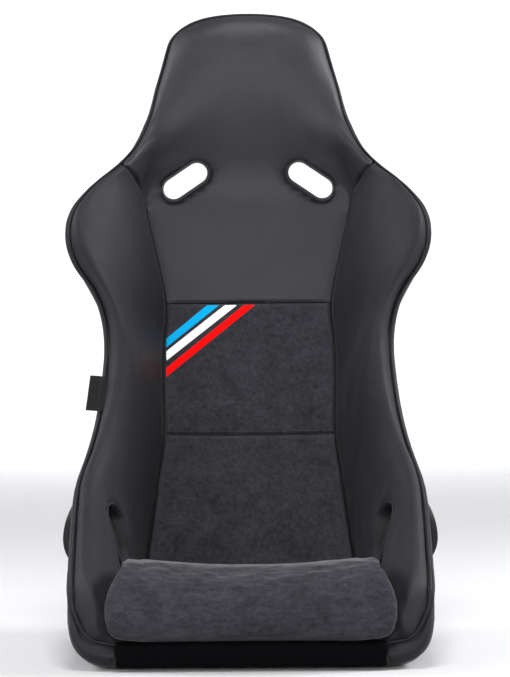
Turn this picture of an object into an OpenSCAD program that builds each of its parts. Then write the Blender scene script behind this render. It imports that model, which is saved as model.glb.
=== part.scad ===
// Racing bucket seat: moulded shell, wrapped pads, suede back panels and a
// loose cushion. Millimetres. +X is the right of a viewer who faces the seat,
// -Y is the way the seat faces, +Z is up. The origin is the middle of the
// footprint, on the floor.

/* [Shell] */
// Wall of the moulded shell
shell_t = 4.5; // [4:0.5:5]
// Reach of the edge binding outside the shell rim
edge_reach = 5; // [4:0.5:6]

/* [Covers] */
// Thickness of the sewn covers, leather or suede with its scrim
cover_t = 3; // [2.5:0.5:3.5]
// Radius of the welt cord along the rim
welt_r = 2.3; // [1.8:0.1:2.5]

/* [Shoulder slots] */
// Long side of each shoulder belt slot
slot_w = 77; // [72:1:80]
// Short side of each shoulder belt slot
slot_h = 33; // [30:1:35]
// Distance of each slot centre from the middle of the seat
slot_x = 99; // [96:1:102]
// Height of the slot centres
slot_z = 700; // [696:1:704]
// Slope of the slots, inner ends higher
slot_tilt = 34; // [28:1:38]

/* [Lap slots] */
// Height of each lap belt slot
lap_h = 90; // [84:1:92]
// Fore and aft length of each lap belt slot
lap_d = 50; // [44:1:52]

/* [Cushion] */
// Height of the cushion top near its front edge
cushion_top = 150; // [146:1:156]
// Width of the cushion face at the front
cushion_w = 406; // [400:2:410]

/* [Side mounts] */
// Fore and aft pitch of the two threaded inserts on each side
insert_pitch = 290; // [280:5:295]
// Height of the inserts above the floor
insert_z = 78; // [75:1:80]
// Bore of each insert, for an M8 bolt
insert_bore = 8; // [8:0.1:8.4]

/* [Stripes] */
// Thickness of the three sewn stripes
stripe_t = 0.6; // [0.5:0.1:0.8]

/* [Label] */
// Reach of the blank side label outside the seam
label_reach = 25; // [20:1:26]
// Height of the blank side label
label_h = 57; // [50:1:60]

/* [Hidden] */

leather = "#2b2b2f";
suede = "#39383b";
// fore and aft shift that puts the origin under the middle of the seat
yo = 12;

// ---- the body's rails --------------------------------------------------
// One row a station, from the front lip (row 0) round the pan and up the
// back to the top of the head (row 22).
// middle of the cover: y, z
C0 = [[-276,30],[-268,12],[-250,8],[-200,8],[-125,8],[-40,8],[45,9],[108,34],
    [140,92],[152,163],[164,234],[177,301],[193,375],[206,440],[219,506],
    [231,580],[240,650],[242,715],[228,780],[212,845],[205,905],[211,944],
    [236,959]];
// seam between the middle panels and the side bolsters: x, y, z
C1 = [[184,-274,34],[181,-266,34],[179,-248,30],[176,-200,24],[174,-125,22],
    [172,-45,22],[170,36,26],[166,96,52],[160,131,104],[150,146,172],
    [141,158,238],[132,171,303],[134,187,381],[132,200,444],[128,212,506],
    [145,226,590],[159,236,668],[134,232,728],[104,216,788],[86,204,846],
    [72,201,900],[64,210,938],[56,238,955]];
// ridge of the bolsters: x, y, z
C3 = [[222,-277,40],[212,-286,62],[212,-274,104],[218,-212,150],
    [222,-135,200],[222,-62,254],[206,-14,306],[193,10,352],[184,28,398],
    [182,40,445],[186,46,488],[199,50,528],[220,52,568],[240,57,608],
    [242,74,645],[222,108,682],[188,150,712],[163,186,748],[143,206,793],
    [129,214,840],[113,218,884],[102,222,918],[94,240,939]];
// welt along the rim: x, y, z
C5 = [[240,-268,80],[242,-262,99],[244,-244,120],[245,-200,148],
    [247,-122,193],[246,-50,240],[231,8,290],[220,44,341],[214,68,391],
    [211,82,440],[216,88,486],[232,88,526],[259,86,566],[269,86,605],
    [262,98,645],[234,130,684],[197,166,716],[169,202,752],[150,226,796],
    [140,236,841],[128,240,884],[121,242,910],[115,243,922]];
// inside of the shell on the middle line: y, z
A0 = [[-284,22],[-272,8],[-252,4.5],[-200,4.5],[-125,4.5],[-40,4.5],
    [60,4.5],[132,14],[172,72],[186,148],[198,224],[208,294],[222,369],
    [235,434],[249,501],[261,576],[269,648],[274,718],[274,789],[270,853],
    [263,905],[257,934],[250,954]];
// inside of the shell under the seam: x, y, z
A1 = [[184,-284,22],[181,-272,8],[179,-252,4.5],[176,-200,4.5],
    [174,-125,4.5],[172,-45,4.5],[170,58,4.5],[166,130,17],[160,166,78],
    [150,180,153],[141,190,228],[132,199,296],[134,214,375],[132,227,439],
    [128,240,501],[145,254,586],[159,262,666],[134,265,730],[104,263,796],
    [86,258,855],[72,253,903],[64,250,931],[56,247,949]];
// outer corner of the shell: x, then how square the corner is
AX = [[244,.78],[245,.8],[246,.82],[247,.85],[247,.86],[247,.86],[247,.86],
    [246,.78],[236,.62],[224,.46],[221,.24],[231,.1],[254,.05],[267,.08],
    [260,.2],[232,.3],[197,.31],[169,.3],[149,.28],[139,.28],[127,.28],
    [120,.28],[114,.28]];
// how far the inner wall and the outer roll of the bolster stand out
BB = [[0,0],[4,6],[6,8],[8,9],[8,9],[8,9],[8,9],[8,9],[8,9],[8,9],[8,9],
    [8,9],[8,8],[6,7],[5,6],[3,5],[0,5],[0,5],[3,5],[4,6],[4,6],[3,5],[0,0]];
K = len(C0) - 1;

// ---- curves through the stations ----------------------------------------
function h1(t) = 2*t*t*t - 3*t*t + 1;
function h2(t) = t*t*t - 2*t*t + t;
function h3(t) = 3*t*t - 2*t*t*t;
function h4(t) = t*t*t - t*t;
function herm(p, q, m, n, t) = h1(t)*p + h2(t)*m + h3(t)*q + h4(t)*n;
function cr(T, v) = let (u = min(max(v, 0), K), i = min(floor(u), K - 1),
    t = u - i, p = T[i], q = T[i + 1],
    o = i > 0 ? T[i - 1] : 2*p - q, r = i < K - 1 ? T[i + 2] : 2*q - p)
    herm(p, q, (q - o)/2, (r - p)/2, t);
function unit(a) = a / max(norm(a), 1e-9);
function in3(p) = [0, p[0], p[1]];
function ease(x) = let (k = min(max(x, 0), 1)) k*k*(3 - 2*k);
function dot(a, b) = a[0]*b[0] + a[1]*b[1] + a[2]*b[2];

// rails at station v: [c0..c5, a0, a1, p1, p2, a5]
function rail(v) = let (
    c0 = in3(cr(C0, v)), c1 = cr(C1, v), c3 = cr(C3, v), c5 = cr(C5, v),
    tr = cr(C5, v + .05) - cr(C5, v - .05),
    a5 = c5 + 10*unit([0, tr[2], -tr[1]]),
    a0 = in3(cr(A0, v)), a1 = cr(A1, v), ax = cr(AX, v),
    co = [ax[0], a1[1], a1[2]],
    hq = ease((v - 17.5)/1.5), p1 = a1 + (co - a1)*ax[1],
    p2 = a5 + (co - a5)*ax[1]*(1 - hq) + (a1 - a5)*.33*hq,
    b = cr(BB, v),
    m2 = (c1 + c3)/2, m4 = (c3 + c5)/2,
    c2 = m2 + b[0]*across(m2 - bez(a1, p1, p2, a5, .25), c3 - c1),
    c4 = m4 + b[1]*across(m4 - bez(a1, p1, p2, a5, .75), c5 - c3))
    [c0, c1, c2, c3, c4, c5, a0, a1, p1, p2, a5];
function across(g, e) = let (u = unit(e)) unit(g - u*dot(u, g));
function bez(a, b, c, d, t) = (1-t)*(1-t)*(1-t)*a + 3*t*(1-t)*(1-t)*b
    + 3*t*t*(1-t)*c + t*t*t*d;

// inside of the shell; w runs 0 at the middle, .2 at the seam, 1 at the rim
function shell_r(r, w) = w < .2 ?
    let (p = w/.2) [r[7][0]*p, r[6][1] + (r[7][1] - r[6][1])*p*p,
        r[6][2] + (r[7][2] - r[6][2])*p*p]
    : bez(r[7], r[8], r[9], r[10], (w - .2)/.8);
// outside of the covers
function cover_r(r, v, w) = let (k = ease((17 - v)/1.5), x = w*5,
    i = min(floor(x), 4), t = x - i,
    s = (r[2] - r[0])/2,
    c10 = r[1] - r[0],
    mi = s*(1 - k) + k*[c10[0], 2*c10[1], 2*c10[2]],
    mo = s*(1 - k) + k*(r[2] - r[1]),
    ti = [mi, (r[3] - r[1])/2, (r[4] - r[2])/2, (r[5] - r[3])/2, r[5] - r[4]],
    to = [[r[1][0], 0, 0], mo, (r[3] - r[1])/2, (r[4] - r[2])/2,
        (r[5] - r[3])/2])
    herm(r[i], r[i + 1], to[i], ti[i], t);
function side(p, w) = w < 0 ? [-p[0], p[1], p[2]] : p;
function shell_at(v, w) = side(shell_r(rail(v), abs(w)), w);
function cover_at(v, w) = side(cover_r(rail(v), v, abs(w)), w);
// outward normal of the shell, the same on both sides
// taken a little way in at the front corner, where rows and columns meet flat
function shell_n(v, w) = let (e = .02,
    k = ease(1 - norm([v/1.3, (1 - abs(w))/.14])),
    u = v + .6*k, a = abs(w) - .1*k,
    va = max(u - e, 0), vb = min(u + e, K),
    dv = shell_at(vb, a) - shell_at(va, a),
    dw = shell_at(u, min(a + e, 1)) - shell_at(u, max(a - e, 0)),
    n = unit(cross(dv, dw)))
    side(a == 0 ? unit([0, n[1], n[2]]) : n, w);
// outside of the shell, never below the floor
function out_at(v, w, t = shell_t) = let (p = shell_at(v, w) + t*shell_n(v, w))
    [p[0], p[1], max(p[2], 0)];
// normal of the cover, towards the shell; the seam crease is smoothed over
function cover_n(v, w) = let (a = abs(w), e = .02,
    va = max(v - e, 0), vb = min(v + e, K),
    wa = a > .2 && a < .24 ? a : max(a - e, 0),
    wb = a < .2 && a > .16 ? a : min(a + e, 1),
    dv = cover_at(vb, a) - cover_at(va, a),
    dw = cover_at(v, wb) - cover_at(v, wa),
    n = unit(cross(dv, dw)))
    side(a == 0 ? unit([0, n[1], n[2]]) : n, w);
// a point between shell and cover: d under the cover, or d over the shell;
// at the rim both run along the line that joins them
function under(v, w, d) = let (s = cover_at(v, w), a = shell_at(v, w),
    g = norm(a - s), u = unit(a - s), k = end_k(v, w))
    s + min(d, g - 2)*unit(k*u + (1 - k)*cover_n(v, w));
function over(v, w, d) = let (s = cover_at(v, w), a = shell_at(v, w),
    k = abs(w) == 1 || v == 0 || v == K ? 1 : 0)
    a + d*unit(k*unit(s - a) - (1 - k)*shell_n(v, w)) - (v < 1.2 ? 2.6 : 1.2)*k*shell_n(v, w);
function end_k(v, w) = max(ease((abs(w) - .84)/.16), ease((.6 - v)/.6),
    ease((v - K + .6)/.6));

// ---- slabs: a grid of points on each face, with cells left out ----------
module slab(T, B, keep = function (i, j) true, sym = false) {
    nv = len(T); nw = len(T[0]); o = nv*nw;
    function id(i, j) = i*nw + j;
    function on(i, j) = i >= 0 && j >= 0 && i < nv - 1 && j < nw - 1
        && keep(i, j);
    function quad(a, b, c, d) = [[a, b, c], [a, c, d]];
    // the split of a cell mirrors about the middle column
    function cell(a, b, c, d, l) = l ? [[a, b, d], [b, c, d]] : quad(a, b, c, d);
    polyhedron(points = concat([for (r = T) each r], [for (r = B) each r]),
        faces = [for (i = [0:nv - 2], j = [0:nw - 2]) if (on(i, j))
            let (a = id(i, j), b = id(i + 1, j), c = id(i + 1, j + 1),
                d = id(i, j + 1))
            each concat(cell(a, b, c, d, sym && j < (nw - 1)/2),
                [for (t = cell(a, b, c, d, sym && j < (nw - 1)/2))
                    [t[0] + o, t[2] + o, t[1] + o]],
                on(i, j - 1) ? [] : quad(b, a, a + o, b + o),
                on(i, j + 1) ? [] : cell(d, c, c + o, d + o, true),
                on(i - 1, j) ? [] : quad(a, d, d + o, a + o),
                on(i + 1, j) ? [] : quad(c, b, b + o, c + o))],
        convexity = 8);
}
// a rod: closed rings P[i][j] one after another, capped, or closed on itself
module rod(P, loop = false, rev = false, turn = function (i) false, cap = []) {
    n = len(P); m = len(P[0]);
    q = loop ? n - 1 : n - 2;
    C = len(cap) > 0 ? cap : [for (j = [1:m - 2]) [0, j, j + 1]];
    F = concat([for (i = [0:q], j = [0:m - 1])
            let (a = i*m + j, b = i*m + (j + 1)%m, k = (i + 1)%n,
                c = k*m + (j + 1)%m, d = k*m + j)
            each turn(i) ? [[a, b, d], [b, c, d]] : [[a, b, c], [a, c, d]]],
            loop ? [] : [for (c = C) [c[0], c[2], c[1]]],
            loop ? [] : [for (c = C) [for (j = c) (n - 1)*m + j]]);
    polyhedron(points = [for (r = P) each r],
        faces = rev ? [for (f = F) [f[0], f[2], f[1]]] : F, convexity = 6);
}

// shared rows and columns, so that neighbouring faces match
V = [0, .5, 1, 1.5, 2, 3, 4, 5, 5.5, 6, 6.5, 7, 7.5, 8, 8.5, 9, 10, 11, 12,
    13, 14, 14.5, 15, 15.5, 16, 16.5, 17, 17.5, 18, 18.5, 19, 20, 20.5, 21,
    21.5, 22];
function rows(a, b) = [for (v = V) if (v > a && v < b) v];
WB = [.2, .28, .36, .44, .52, .6, .68, .76, .84, .92, .96, 1];
WH = [for (i = [11:-1:1]) -WB[i], -.2, -.1, 0, .1, .2,
    for (i = [1:11]) WB[i]];

// ---- cutters and solids for the slots -----------------------------------
// slot outline of length a, height b grown by g, in its own plane
module slot2(a, b, g) {
    offset(r = g) hull() for (s = [-1, 1])
        translate([s*(a - b)/2, 0]) circle(d = b, $fn = 32);
}
// shoulder slot cutter through y0..y1, grown by g, as four short lengths
module shoulder_cut(s, g, y0, y1) {
    for (k = [0:3]) hull() for (e = [-1, 1])
        translate([s*slot_x, y0 + (y1 - y0)*k/4 - .1, slot_z])
            rotate([-90, s*slot_tilt, 0])
                translate([e*(slot_w - slot_h)/2, 0, 0])
                    cylinder(d = slot_h + 2*g, h = (y1 - y0)/4 + .2, $fn = 24);
}
// lap slot: centre line from the inner wall out to the flank
lap_y = -34; lap_z = 162; lap_in = 150; lap_out = 272;
module lap_cut(g, x0 = lap_in, x1 = lap_out) {
    for (k = [0:7]) hull() for (e = [-1, 1])
        translate([x0 + (x1 - x0)*k/8 - .1, lap_y, lap_z])
            rotate([0, 90, 0]) translate([e*(lap_h - lap_d)/2, 0, 0])
                cylinder(d = lap_d + 2*g, h = (x1 - x0)/8 + .2, $fn = 24);
}
// point on a slot ring: angle f round a slot of size a x b grown by g
function slot_pt(f, a, b, g) = let (l = (a - b)/2, c = cos(f))
    [(c > 1e-6 ? l : c < -1e-6 ? -l : 0) + (b/2 + g)*c, (b/2 + g)*sin(f)];

// ---- shell ---------------------------------------------------------------
// column on the shell that reaches height z at station v
function w_for(v, z, a = .25, b = 1, n = 14) = n == 0 ? (a + b)/2 :
    let (m = (a + b)/2) shell_at(v, m)[2] < z ? w_for(v, z, m, b, n - 1)
        : w_for(v, z, a, m, n - 1);
flank_x = 254;
insert_y = [-70 - insert_pitch/2, -70 + insert_pitch/2];
module flank() {
    // flat side pad, moulded with the shell, that carries the inserts; its
    // edges slope down into the wall
    VF = [2.2, 2.5, 3, 3.5, 4, 4.5, 5, 5.5, 6, 6.35, 6.7, 7.05];
    ZF = [42, 62, 72, 84, 93, 102];
    G = [for (v = VF) [for (z = ZF) let (w = w_for(v, min(z, 102))) [v, w]]];
    function top(i, j) = let (v = G[i][j][0], w = G[i][j][1],
        p = shell_at(v, w))
        i == 0 || j == 0 || i == len(VF) - 1 || j == len(ZF) - 1
            ? p + (shell_t - .4)*shell_n(v, w) : [flank_x, p[1], p[2]];
    slab([for (r = G) [for (q = r) shell_at(q[0], q[1])
            + 1.2*shell_n(q[0], q[1])]],
        [for (i = [0:len(VF) - 1]) [for (j = [0:len(ZF) - 1]) top(i, j)]]);
}
module shell() {
    color("#17171a") translate([0, yo, 0]) difference() {
        union() {
            slab([for (v = V) [for (w = WH) shell_at(v, w)]],
                [for (v = V) [for (w = WH) out_at(v, w)]], sym = true);
            flank();
            mirror([1, 0, 0]) flank();
        }
        shoulder_cut(1, 4.5, 225, 300);
        shoulder_cut(-1, 4.5, 225, 300);
        lap_cut(4.5);
        mirror([1, 0, 0]) lap_cut(4.5);
        for (s = [-1, 1], y = insert_y) translate([s*flank_x, y, insert_z])
            rotate([0, s*90, 0]) translate([0, 0, -9.3])
                cylinder(d = 16.6, h = 12, $fn = 32);
    }
}
module mount_inserts(s) {
    // steel threaded inserts, flush with the flank
    color("silver") translate([0, yo, 0]) for (y = insert_y)
        translate([s*flank_x, y, insert_z]) rotate([0, s*90, 0])
            rotate_extrude($fn = 64) polygon([[insert_bore/2, -9],
                [7.4, -9], [7.4, -7.4], [6.8, -6.6], [6.8, -3.4], [8, -2.6],
                [8, 0], [insert_bore/2, 0]]);
}
module mount_inserts_left() { mount_inserts(-1); }
module mount_inserts_right() { mount_inserts(1); }

// ---- rim: frames along the free edge -------------------------------------
// stations of the rim, from the front, up one side, to the middle of the top
RIM = [for (w = [.28, .36, .44, .52, .6, .68, .76, .84, .92]) [0, w],
    for (v = V) [v, 1],
    for (w = [.92, .84, .76, .68, .6, .52, .44, .36, .28, .2, .1, 0]) [K, w]];
RM = len(RIM) - 1;
function rim_a(i) = shell_at(RIM[i][0], RIM[i][1]);
function rim_s(i) = cover_at(RIM[i][0], RIM[i][1]);
function rim_t(i) = i == RM ? [-1, 0, 0] : i == 0 ?
    unit(rim_a(1) - rim_a(0))
    : unit(unit(rim_a(i + 1) - rim_a(i)) + unit(rim_a(i) - rim_a(i - 1)));
function rim_f(i) = unit(rim_s(i) - rim_a(i));
function rim_o(i) = let (t = rim_t(i), f = rim_f(i), o = unit(cross(t, f)))
    i == RM ? unit([0, o[1], o[2]]) : o;
// 1 where the pad end stands on the wall's edge, 0 where it lies on its face
function rim_k(i) = max(0, min(1, dot(rim_f(i), rim_e(i))));
// 1 along the front lip, 0 up the sides
function rim_l(i) = max(0, 1 - RIM[i][0]);
function rim_p(i, f, o) = rim_a(i) + f*rim_f(i) + o*rim_o(i);
function flip(P) = [for (i = [len(P) - 1:-1:0]) [for (p = P[i])
    [-p[0], p[1], p[2]]]];
// the place on the wall square in from the rim; the lip runs up into the rim
// at the front corner, so there it lies further round
function wall_v(i) = let (v = RIM[i][0], w = RIM[i][1]) v == 0
    ? .7 + 1.1*pow(max(0, 2*w - 1), 1.3) : v == K ? K - .5
    : min(v, K - .7) + 1.8*pow(max(0, 1 - v/2.3), 1.2);
function wall_w(i) = let (v = RIM[i][0], w = RIM[i][1]) v == 0
    ? w - .125*max(0, w/.34 - 1.94) : v == K ? min(w, .96) - (w == .92 ? .01 : 0)
    : .96 - .085*max(0, 1 - v/2.3) - .06*ease((v - 17)/2);
function rim_e(i) = unit(rim_a(i) - shell_at(wall_v(i), wall_w(i)));
// 13 mm in from the rim on the wall's outside, g off it
function wall_p(i, g) = let (t = RIM[i],
    k = t[0] == 0 ? ease(2.4*t[1] - 1.2) : max(0, 1 - t[0]/3),
    c = g + 2.2*k + (t[0] == 0 ? .6 : 0),
    p = out_at(t[0], t[1], shell_t + c), q = out_at(wall_v(i), wall_w(i),
        shell_t + c)) p + (q - p)*min(1, (13 - 6*k)/norm(q - p));
module edge_binding() {
    // rubber-backed edging that caps the shell rim, one length all round
    H = [for (i = [0:RM]) let (k = rim_k(i), oi = shell_t*k + .6,
            g = norm(rim_s(i) - rim_a(i)) - 1.5 - 3.4*rim_l(i),
            q = out_at(RIM[i][0], RIM[i][1], shell_t + 3.8)
                + (edge_reach - .6)*(1 - k)*rim_e(i),
            f = max(1, min(g*.66 - .8, (q - rim_a(i))*rim_f(i))))
        [rim_p(i, g, oi + 1.6), rim_p(i, g*.66, oi + edge_reach - .6),
            rim_p(i, f, oi + edge_reach), q,
            wall_p(i, 3.6), wall_p(i, 1.5),
            out_at(RIM[i][0], RIM[i][1], shell_t + 1.3) + 1.6*rim_e(i),
            rim_p(i, 0, 1) + 1.6*rim_e(i), rim_p(i, g, 1)]];
    color(leather) translate([0, yo, 0])
        rod(concat(H, [for (i = [RM - 1:-1:0]) [for (p = H[i])
            [-p[0], p[1], p[2]]]]), rev = true,
            turn = function (i) let (t = i < RM ? i : 2*RM - 1 - i)
                (i < RM) == (RIM[t][1] < 1 || RIM[t + 1][1] < 1),
            cap = [[0, 1, 8], [1, 2, 7], [1, 7, 8], [2, 3, 6], [2, 6, 7],
                [3, 4, 5], [3, 5, 6]]);
}
module piping_half() {
    // welt cord sewn into the cover edge
    rod([for (i = [0:RM]) let (c = rim_s(i) + (welt_r + .3)*rim_o(i)
            + (1.8 - 3.2*rim_l(i))*rim_f(i))
        [for (f = [0:60:300]) let (p = c + welt_r*(cos(f)*rim_f(i)
            + sin(f)*rim_o(i))) [i == RM ? .4 : max(p[0], .4), p[1], p[2]]]],
        rev = true);
}
module piping_right() { color("#141416") translate([0, yo, 0]) piping_half(); }
module piping_left() {
    color("#141416") translate([0, yo, 0]) mirror([1, 0, 0]) piping_half();
}

// ---- pads ------------------------------------------------------------------
// foam lies 1.5 off the shell and stops half a millimetre under its cover
module pad(vs, ws, keep = function (i, j) true) {
    slab([for (v = vs) [for (w = ws) under(v, w, cover_t + .5)]],
        [for (v = vs) [for (w = ws) over(v, w,
            v < 1.2 ? 5 : abs(w) > .8 || v < 2.6 ? 3.4 : 2.2)]],
        keep, sym = ws[0] < 0);
}
module skin(vs, ws, keep = function (i, j) true) {
    slab([for (v = vs) [for (w = ws) cover_at(v, w)]],
        [for (v = vs) [for (w = ws) under(v, w, cover_t)]], keep,
        sym = ws[0] < 0);
}
VB = concat(rows(-1, 15.9), [15.97]);
WS = [.206, for (i = [1:11]) WB[i]];
module bolster_foam_right() {
    color("#4a4a44") translate([0, yo, 0]) difference() {
        pad(concat([.08], rows(.1, 15.9), [15.97]), WS,
            function (i, j) i > 1 || j < 9);
        lap_cut(4.5);
    }
}
module bolster_foam_left() { mirror([1, 0, 0]) bolster_foam_right(); }
module bolster_cover_right() {
    color(leather) translate([0, yo, 0]) difference() {
        skin(VB, WS);
        lap_cut(6.5);
    }
}
module bolster_cover_left() { mirror([1, 0, 0]) bolster_cover_right(); }

// head and shoulder pad: a neck between the bolsters, then full width
VH = concat([14.03], rows(14.1, 15.9), [16.03], rows(16.1, 23));
WN = [for (i = [11:-1:1]) -WB[i], -.196, -.15, -.1, -.05, 0, .05, .1, .15,
    .196, for (i = [1:11]) WB[i]];
function neck(i, j) = i >= 4 || (j >= 11 && j < 19);
module head_foam() {
    color("#4a4a44") translate([0, yo, 0]) difference() {
        pad(VH, WN, function (i, j) neck(i, j));
        shoulder_cut(1, 8, 200, 300);
        shoulder_cut(-1, 8, 200, 300);
    }
}
module head_cover() {
    color(leather) translate([0, yo, 0]) difference() {
        skin(VH, WN, function (i, j) neck(i, j));
        shoulder_cut(1, 8.6, 200, 300);
        shoulder_cut(-1, 8.6, 200, 300);
    }
}
// back panels between the bolsters
WP = [-.196, -.15, -.1, -.05, 0, .05, .1, .15, .196];
module back_foam() {
    color("#4a4a44") translate([0, yo, 0])
        pad(concat(rows(7.4, 13.9), [13.97]), WP);
}
module back_cover_upper() {
    color(suede) translate([0, yo, 0])
        skin(concat([11.02, 11.5], rows(11.6, 13.9), [13.97]), WP);
}
module back_cover_lower() {
    color(suede) translate([0, yo, 0])
        skin(concat(rows(7.4, 10.9), [10.98]), WP);
}

// ---- stripes -----------------------------------------------------------------
// station at which the middle panel, at width x, is z high
function v_for(x, z, a = 9, b = 15, n = 16) = n == 0 ? (a + b)/2 :
    let (m = (a + b)/2, w = .2*abs(x)/cr(C1, m)[0])
    cover_at(m, min(w, .2))[2] < z ? v_for(x, z, m, b, n - 1)
        : v_for(x, z, a, m, n - 1);
function on_panel(x, z) = let (v = v_for(x, z), w = .2*abs(x)/cr(C1, v)[0],
    p = cover_at(v, min(w, .2))) [x, p[1], z];
// corners: left end low and high, top end left and right, as x, z
module stripe(q) {
    G = [for (i = [0:8]) [for (j = [0:2]) let (s = i/8, t = j/2,
        p = (q[0]*(1 - s) + q[2]*s)*(1 - t) + (q[1]*(1 - s) + q[3]*s)*t)
        on_panel(p[0], p[1])]];
    slab([for (r = G) [for (p = r) p - [0, .3 + stripe_t, 0]]],
        [for (r = G) [for (p = r) p - [0, .3, 0]]]);
}
module stripe_blue() {
    color("#0ca6e4") translate([0, yo, 0])
        stripe([[-129.5, 449], [-129.5, 437], [-64, 502.5], [-47, 502.5]]);
}
module stripe_white() {
    color("white") translate([0, yo, 0])
        stripe([[-129, 432], [-128.5, 418], [-39, 502.5], [-20, 502.5]]);
}
module stripe_red() {
    color("red") translate([0, yo, 0])
        stripe([[-129, 403], [-129, 390.5], [-5, 502.5], [11, 502.5]]);
}

// ---- slot surrounds -------------------------------------------------------------
// profile points are [outward growth, depth]
module shoulder_bezel(s) {
    prof = [[0, 35], [0, 6], [5.4, -6], [6.6, -7.4], [7.6, -6.6], [7.6, 1],
        [4, 4], [4, 35]];
    color("#0e0e10") translate([s*slot_x, yo + 243, slot_z])
        rotate([0, s*slot_tilt, 0])
            rod([for (f = [0:15:345]) [for (q = prof)
                let (p = slot_pt(f + .01, slot_w, slot_h, q[0]))
                [p[0], q[1], p[1]]]], loop = true, rev = true);
}
module shoulder_bezel_left() { shoulder_bezel(-1); }
module shoulder_bezel_right() { shoulder_bezel(1); }
// inner wall of the bolster near the lap slot, as x over y and z
function wall_x(y, z) = 189.6 + .18*(z - 166) - (.22 + .0022*(z - 166))*(y - lap_y);
// points round the slot, with a few on its straight sides
SR = concat([for (f = [-75:15:75]) [f, 0]], [for (l = [.5, 0, -.5]) [90, l]],
    [for (f = [105:15:255]) [f, 0]], [for (l = [-.5, 0, .5]) [270, l]]);
function ring_pt(r, a, b, g) = r[1] == 0 && r[0] != 90 && r[0] != 270
    ? slot_pt(r[0], a, b, g)
    : [(a - b)*r[1], (b/2 + g)*(r[0] == 90 ? 1 : -1)];
module lap_bezel_half() {
    // [growth, x past the flank or the wall, 1 for the wall, share of flare]
    prof = [[0, 252.5, 0, .9], [0, 3, 1, 0], [2, -3, 1, 0], [4.4, -4, 1, 0],
        [5.8, -1.5, 1, 0], [4, 5, 1, 0], [4, 243, 0, 0], [4, 252.4, 0, 0],
        [11, 252.4, 0, 0], [10, 253.4, 0, .6], [6, 254.6, 0, 1],
        [1.5, 254.6, 0, 1]];
    rod([for (r = SR) let (e = ring_pt(r, lap_h, lap_d, 0),
            flare = 16.5*pow(max(0, 1 - pow((e[0] + 2)/(e[0] < -2 ? 36 : 52), 2)),
                1.2))
        [for (q = prof) let (p = ring_pt(r, lap_h, lap_d, q[0]),
            y = lap_y + p[1], z = lap_z + p[0])
        [q[1] + (q[2] > 0 ? wall_x(y, z) : 0) + flare*q[3], y, z]]],
        loop = true);
}
module lap_bezel_right() {
    color("#0e0e10") translate([0, yo, 0]) lap_bezel_half();
}
module lap_bezel_left() {
    color("#0e0e10") translate([0, yo, 0]) mirror([1, 0, 0]) lap_bezel_half();
}

// ---- front trim and label ---------------------------------------------------------
module front_trim() {
    // black lip over the front edge of the shell, between the bolsters
    color("#0c0c0e") translate([-178, yo, 0]) rotate([90, 0, 90])
        linear_extrude(356) polygon([[-289.5, 6], [-289.5, 20],
            [-287, 24.4], [-282, 24.4], [-269.5, 11], [-262, 7.5],
            [-262, 30], [-270, 37], [-282, 39.5], [-291, 39], [-297, 34],
            [-299.5, 22], [-298, 9], [-294, 5]]);
}
LV = 7.48;
module side_label() {
    // blank folded tab sewn in at the welt
    r = rail(LV);
    t = unit(rail(LV + .05)[10] - rail(LV - .05)[10]);
    f = unit(r[5] - r[10]);
    o = unit(cross(t, f));
    function at(a, b, c) = let (p = r[10] + a*f + b*o + c*t)
        [-p[0], p[1], p[2]];
    color("#101012") translate([0, yo, 0])
        rod([for (c = [-label_h/2, label_h/2]) [for (q = [[17, 0], [17, 14],
            [16.4, label_reach], [18, label_reach], [18.4, 14], [18.4, 0]])
            at(q[0], q[1], c)]], rev = true);
}

// ---- cushion ------------------------------------------------------------------------
// half width at y and height z: inside the tub, then the wider front face
function cw(y, z) = let (tub = 166 - .055*max(min(y, 60), -262),
    k = ease((-274 - y)/16), face = cushion_w/2 - .0042*(z - 80)*(z - 80))
    tub*(1 - k) + max(face, tub)*k;
yf = -303; yr = 92; dish = 12;
// top and bottom of the cushion along the middle
function ctop(y) = y < -255 ? cushion_top - pow((y + 255)/48, 2)*26
    : cushion_top - 46*ease((y + 255)/350);
function cbot(y) = y < -256 ? 41.5 : y < -244 ? 12 + 29.5*(-244 - y)/12 : 12;
CF = 36;
// a point k of CF round the unit square, its corners rounded off
function sq(k) = let (n = CF/4, i = floor(k/n), t = sin(90*((k - i*n + .5)*2/n - 1)),
    p = i == 0 ? [1, t] : i == 1 ? [-t, 1] : i == 2 ? [-1, -t] : [t, -1])
    p/pow(pow(abs(p[0]), 22) + pow(abs(p[1]), 22), 1/22);
// level q = [inset, share of the height], point k of the plan, d inside
function c_pt(k, q, d) = let (
    u = sq(k), sc = 1 - q[0]/200, ly = (yr - yf)/2 - d, my = (yr + yf)/2,
    y0 = my - u[1]*ly*sc,
    zt = ctop(y0) - d, zb = cbot(y0) + d*.2,
    crown = -dish*(1 - pow(abs(u[0]*sc), 2.4)),
    z = zb + (zt + crown - zb)*q[1],
    y = y0 + (y0 > 0 ? (z - 12)*.42*y0/yr : 0))
    [u[0]*(cw(y0, z) - d)*sc, y, z];
CL = [[11, 0], [4, .05], [.8, .2], [0, .45], [.8, .7], [3, .88],
    [7, .972], [16, 1], [70, 1], [135, 1]];
function rings(d) = [for (q = CL) [for (k = [0:CF - 1])
    c_pt(k, q, d)]];
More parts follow.
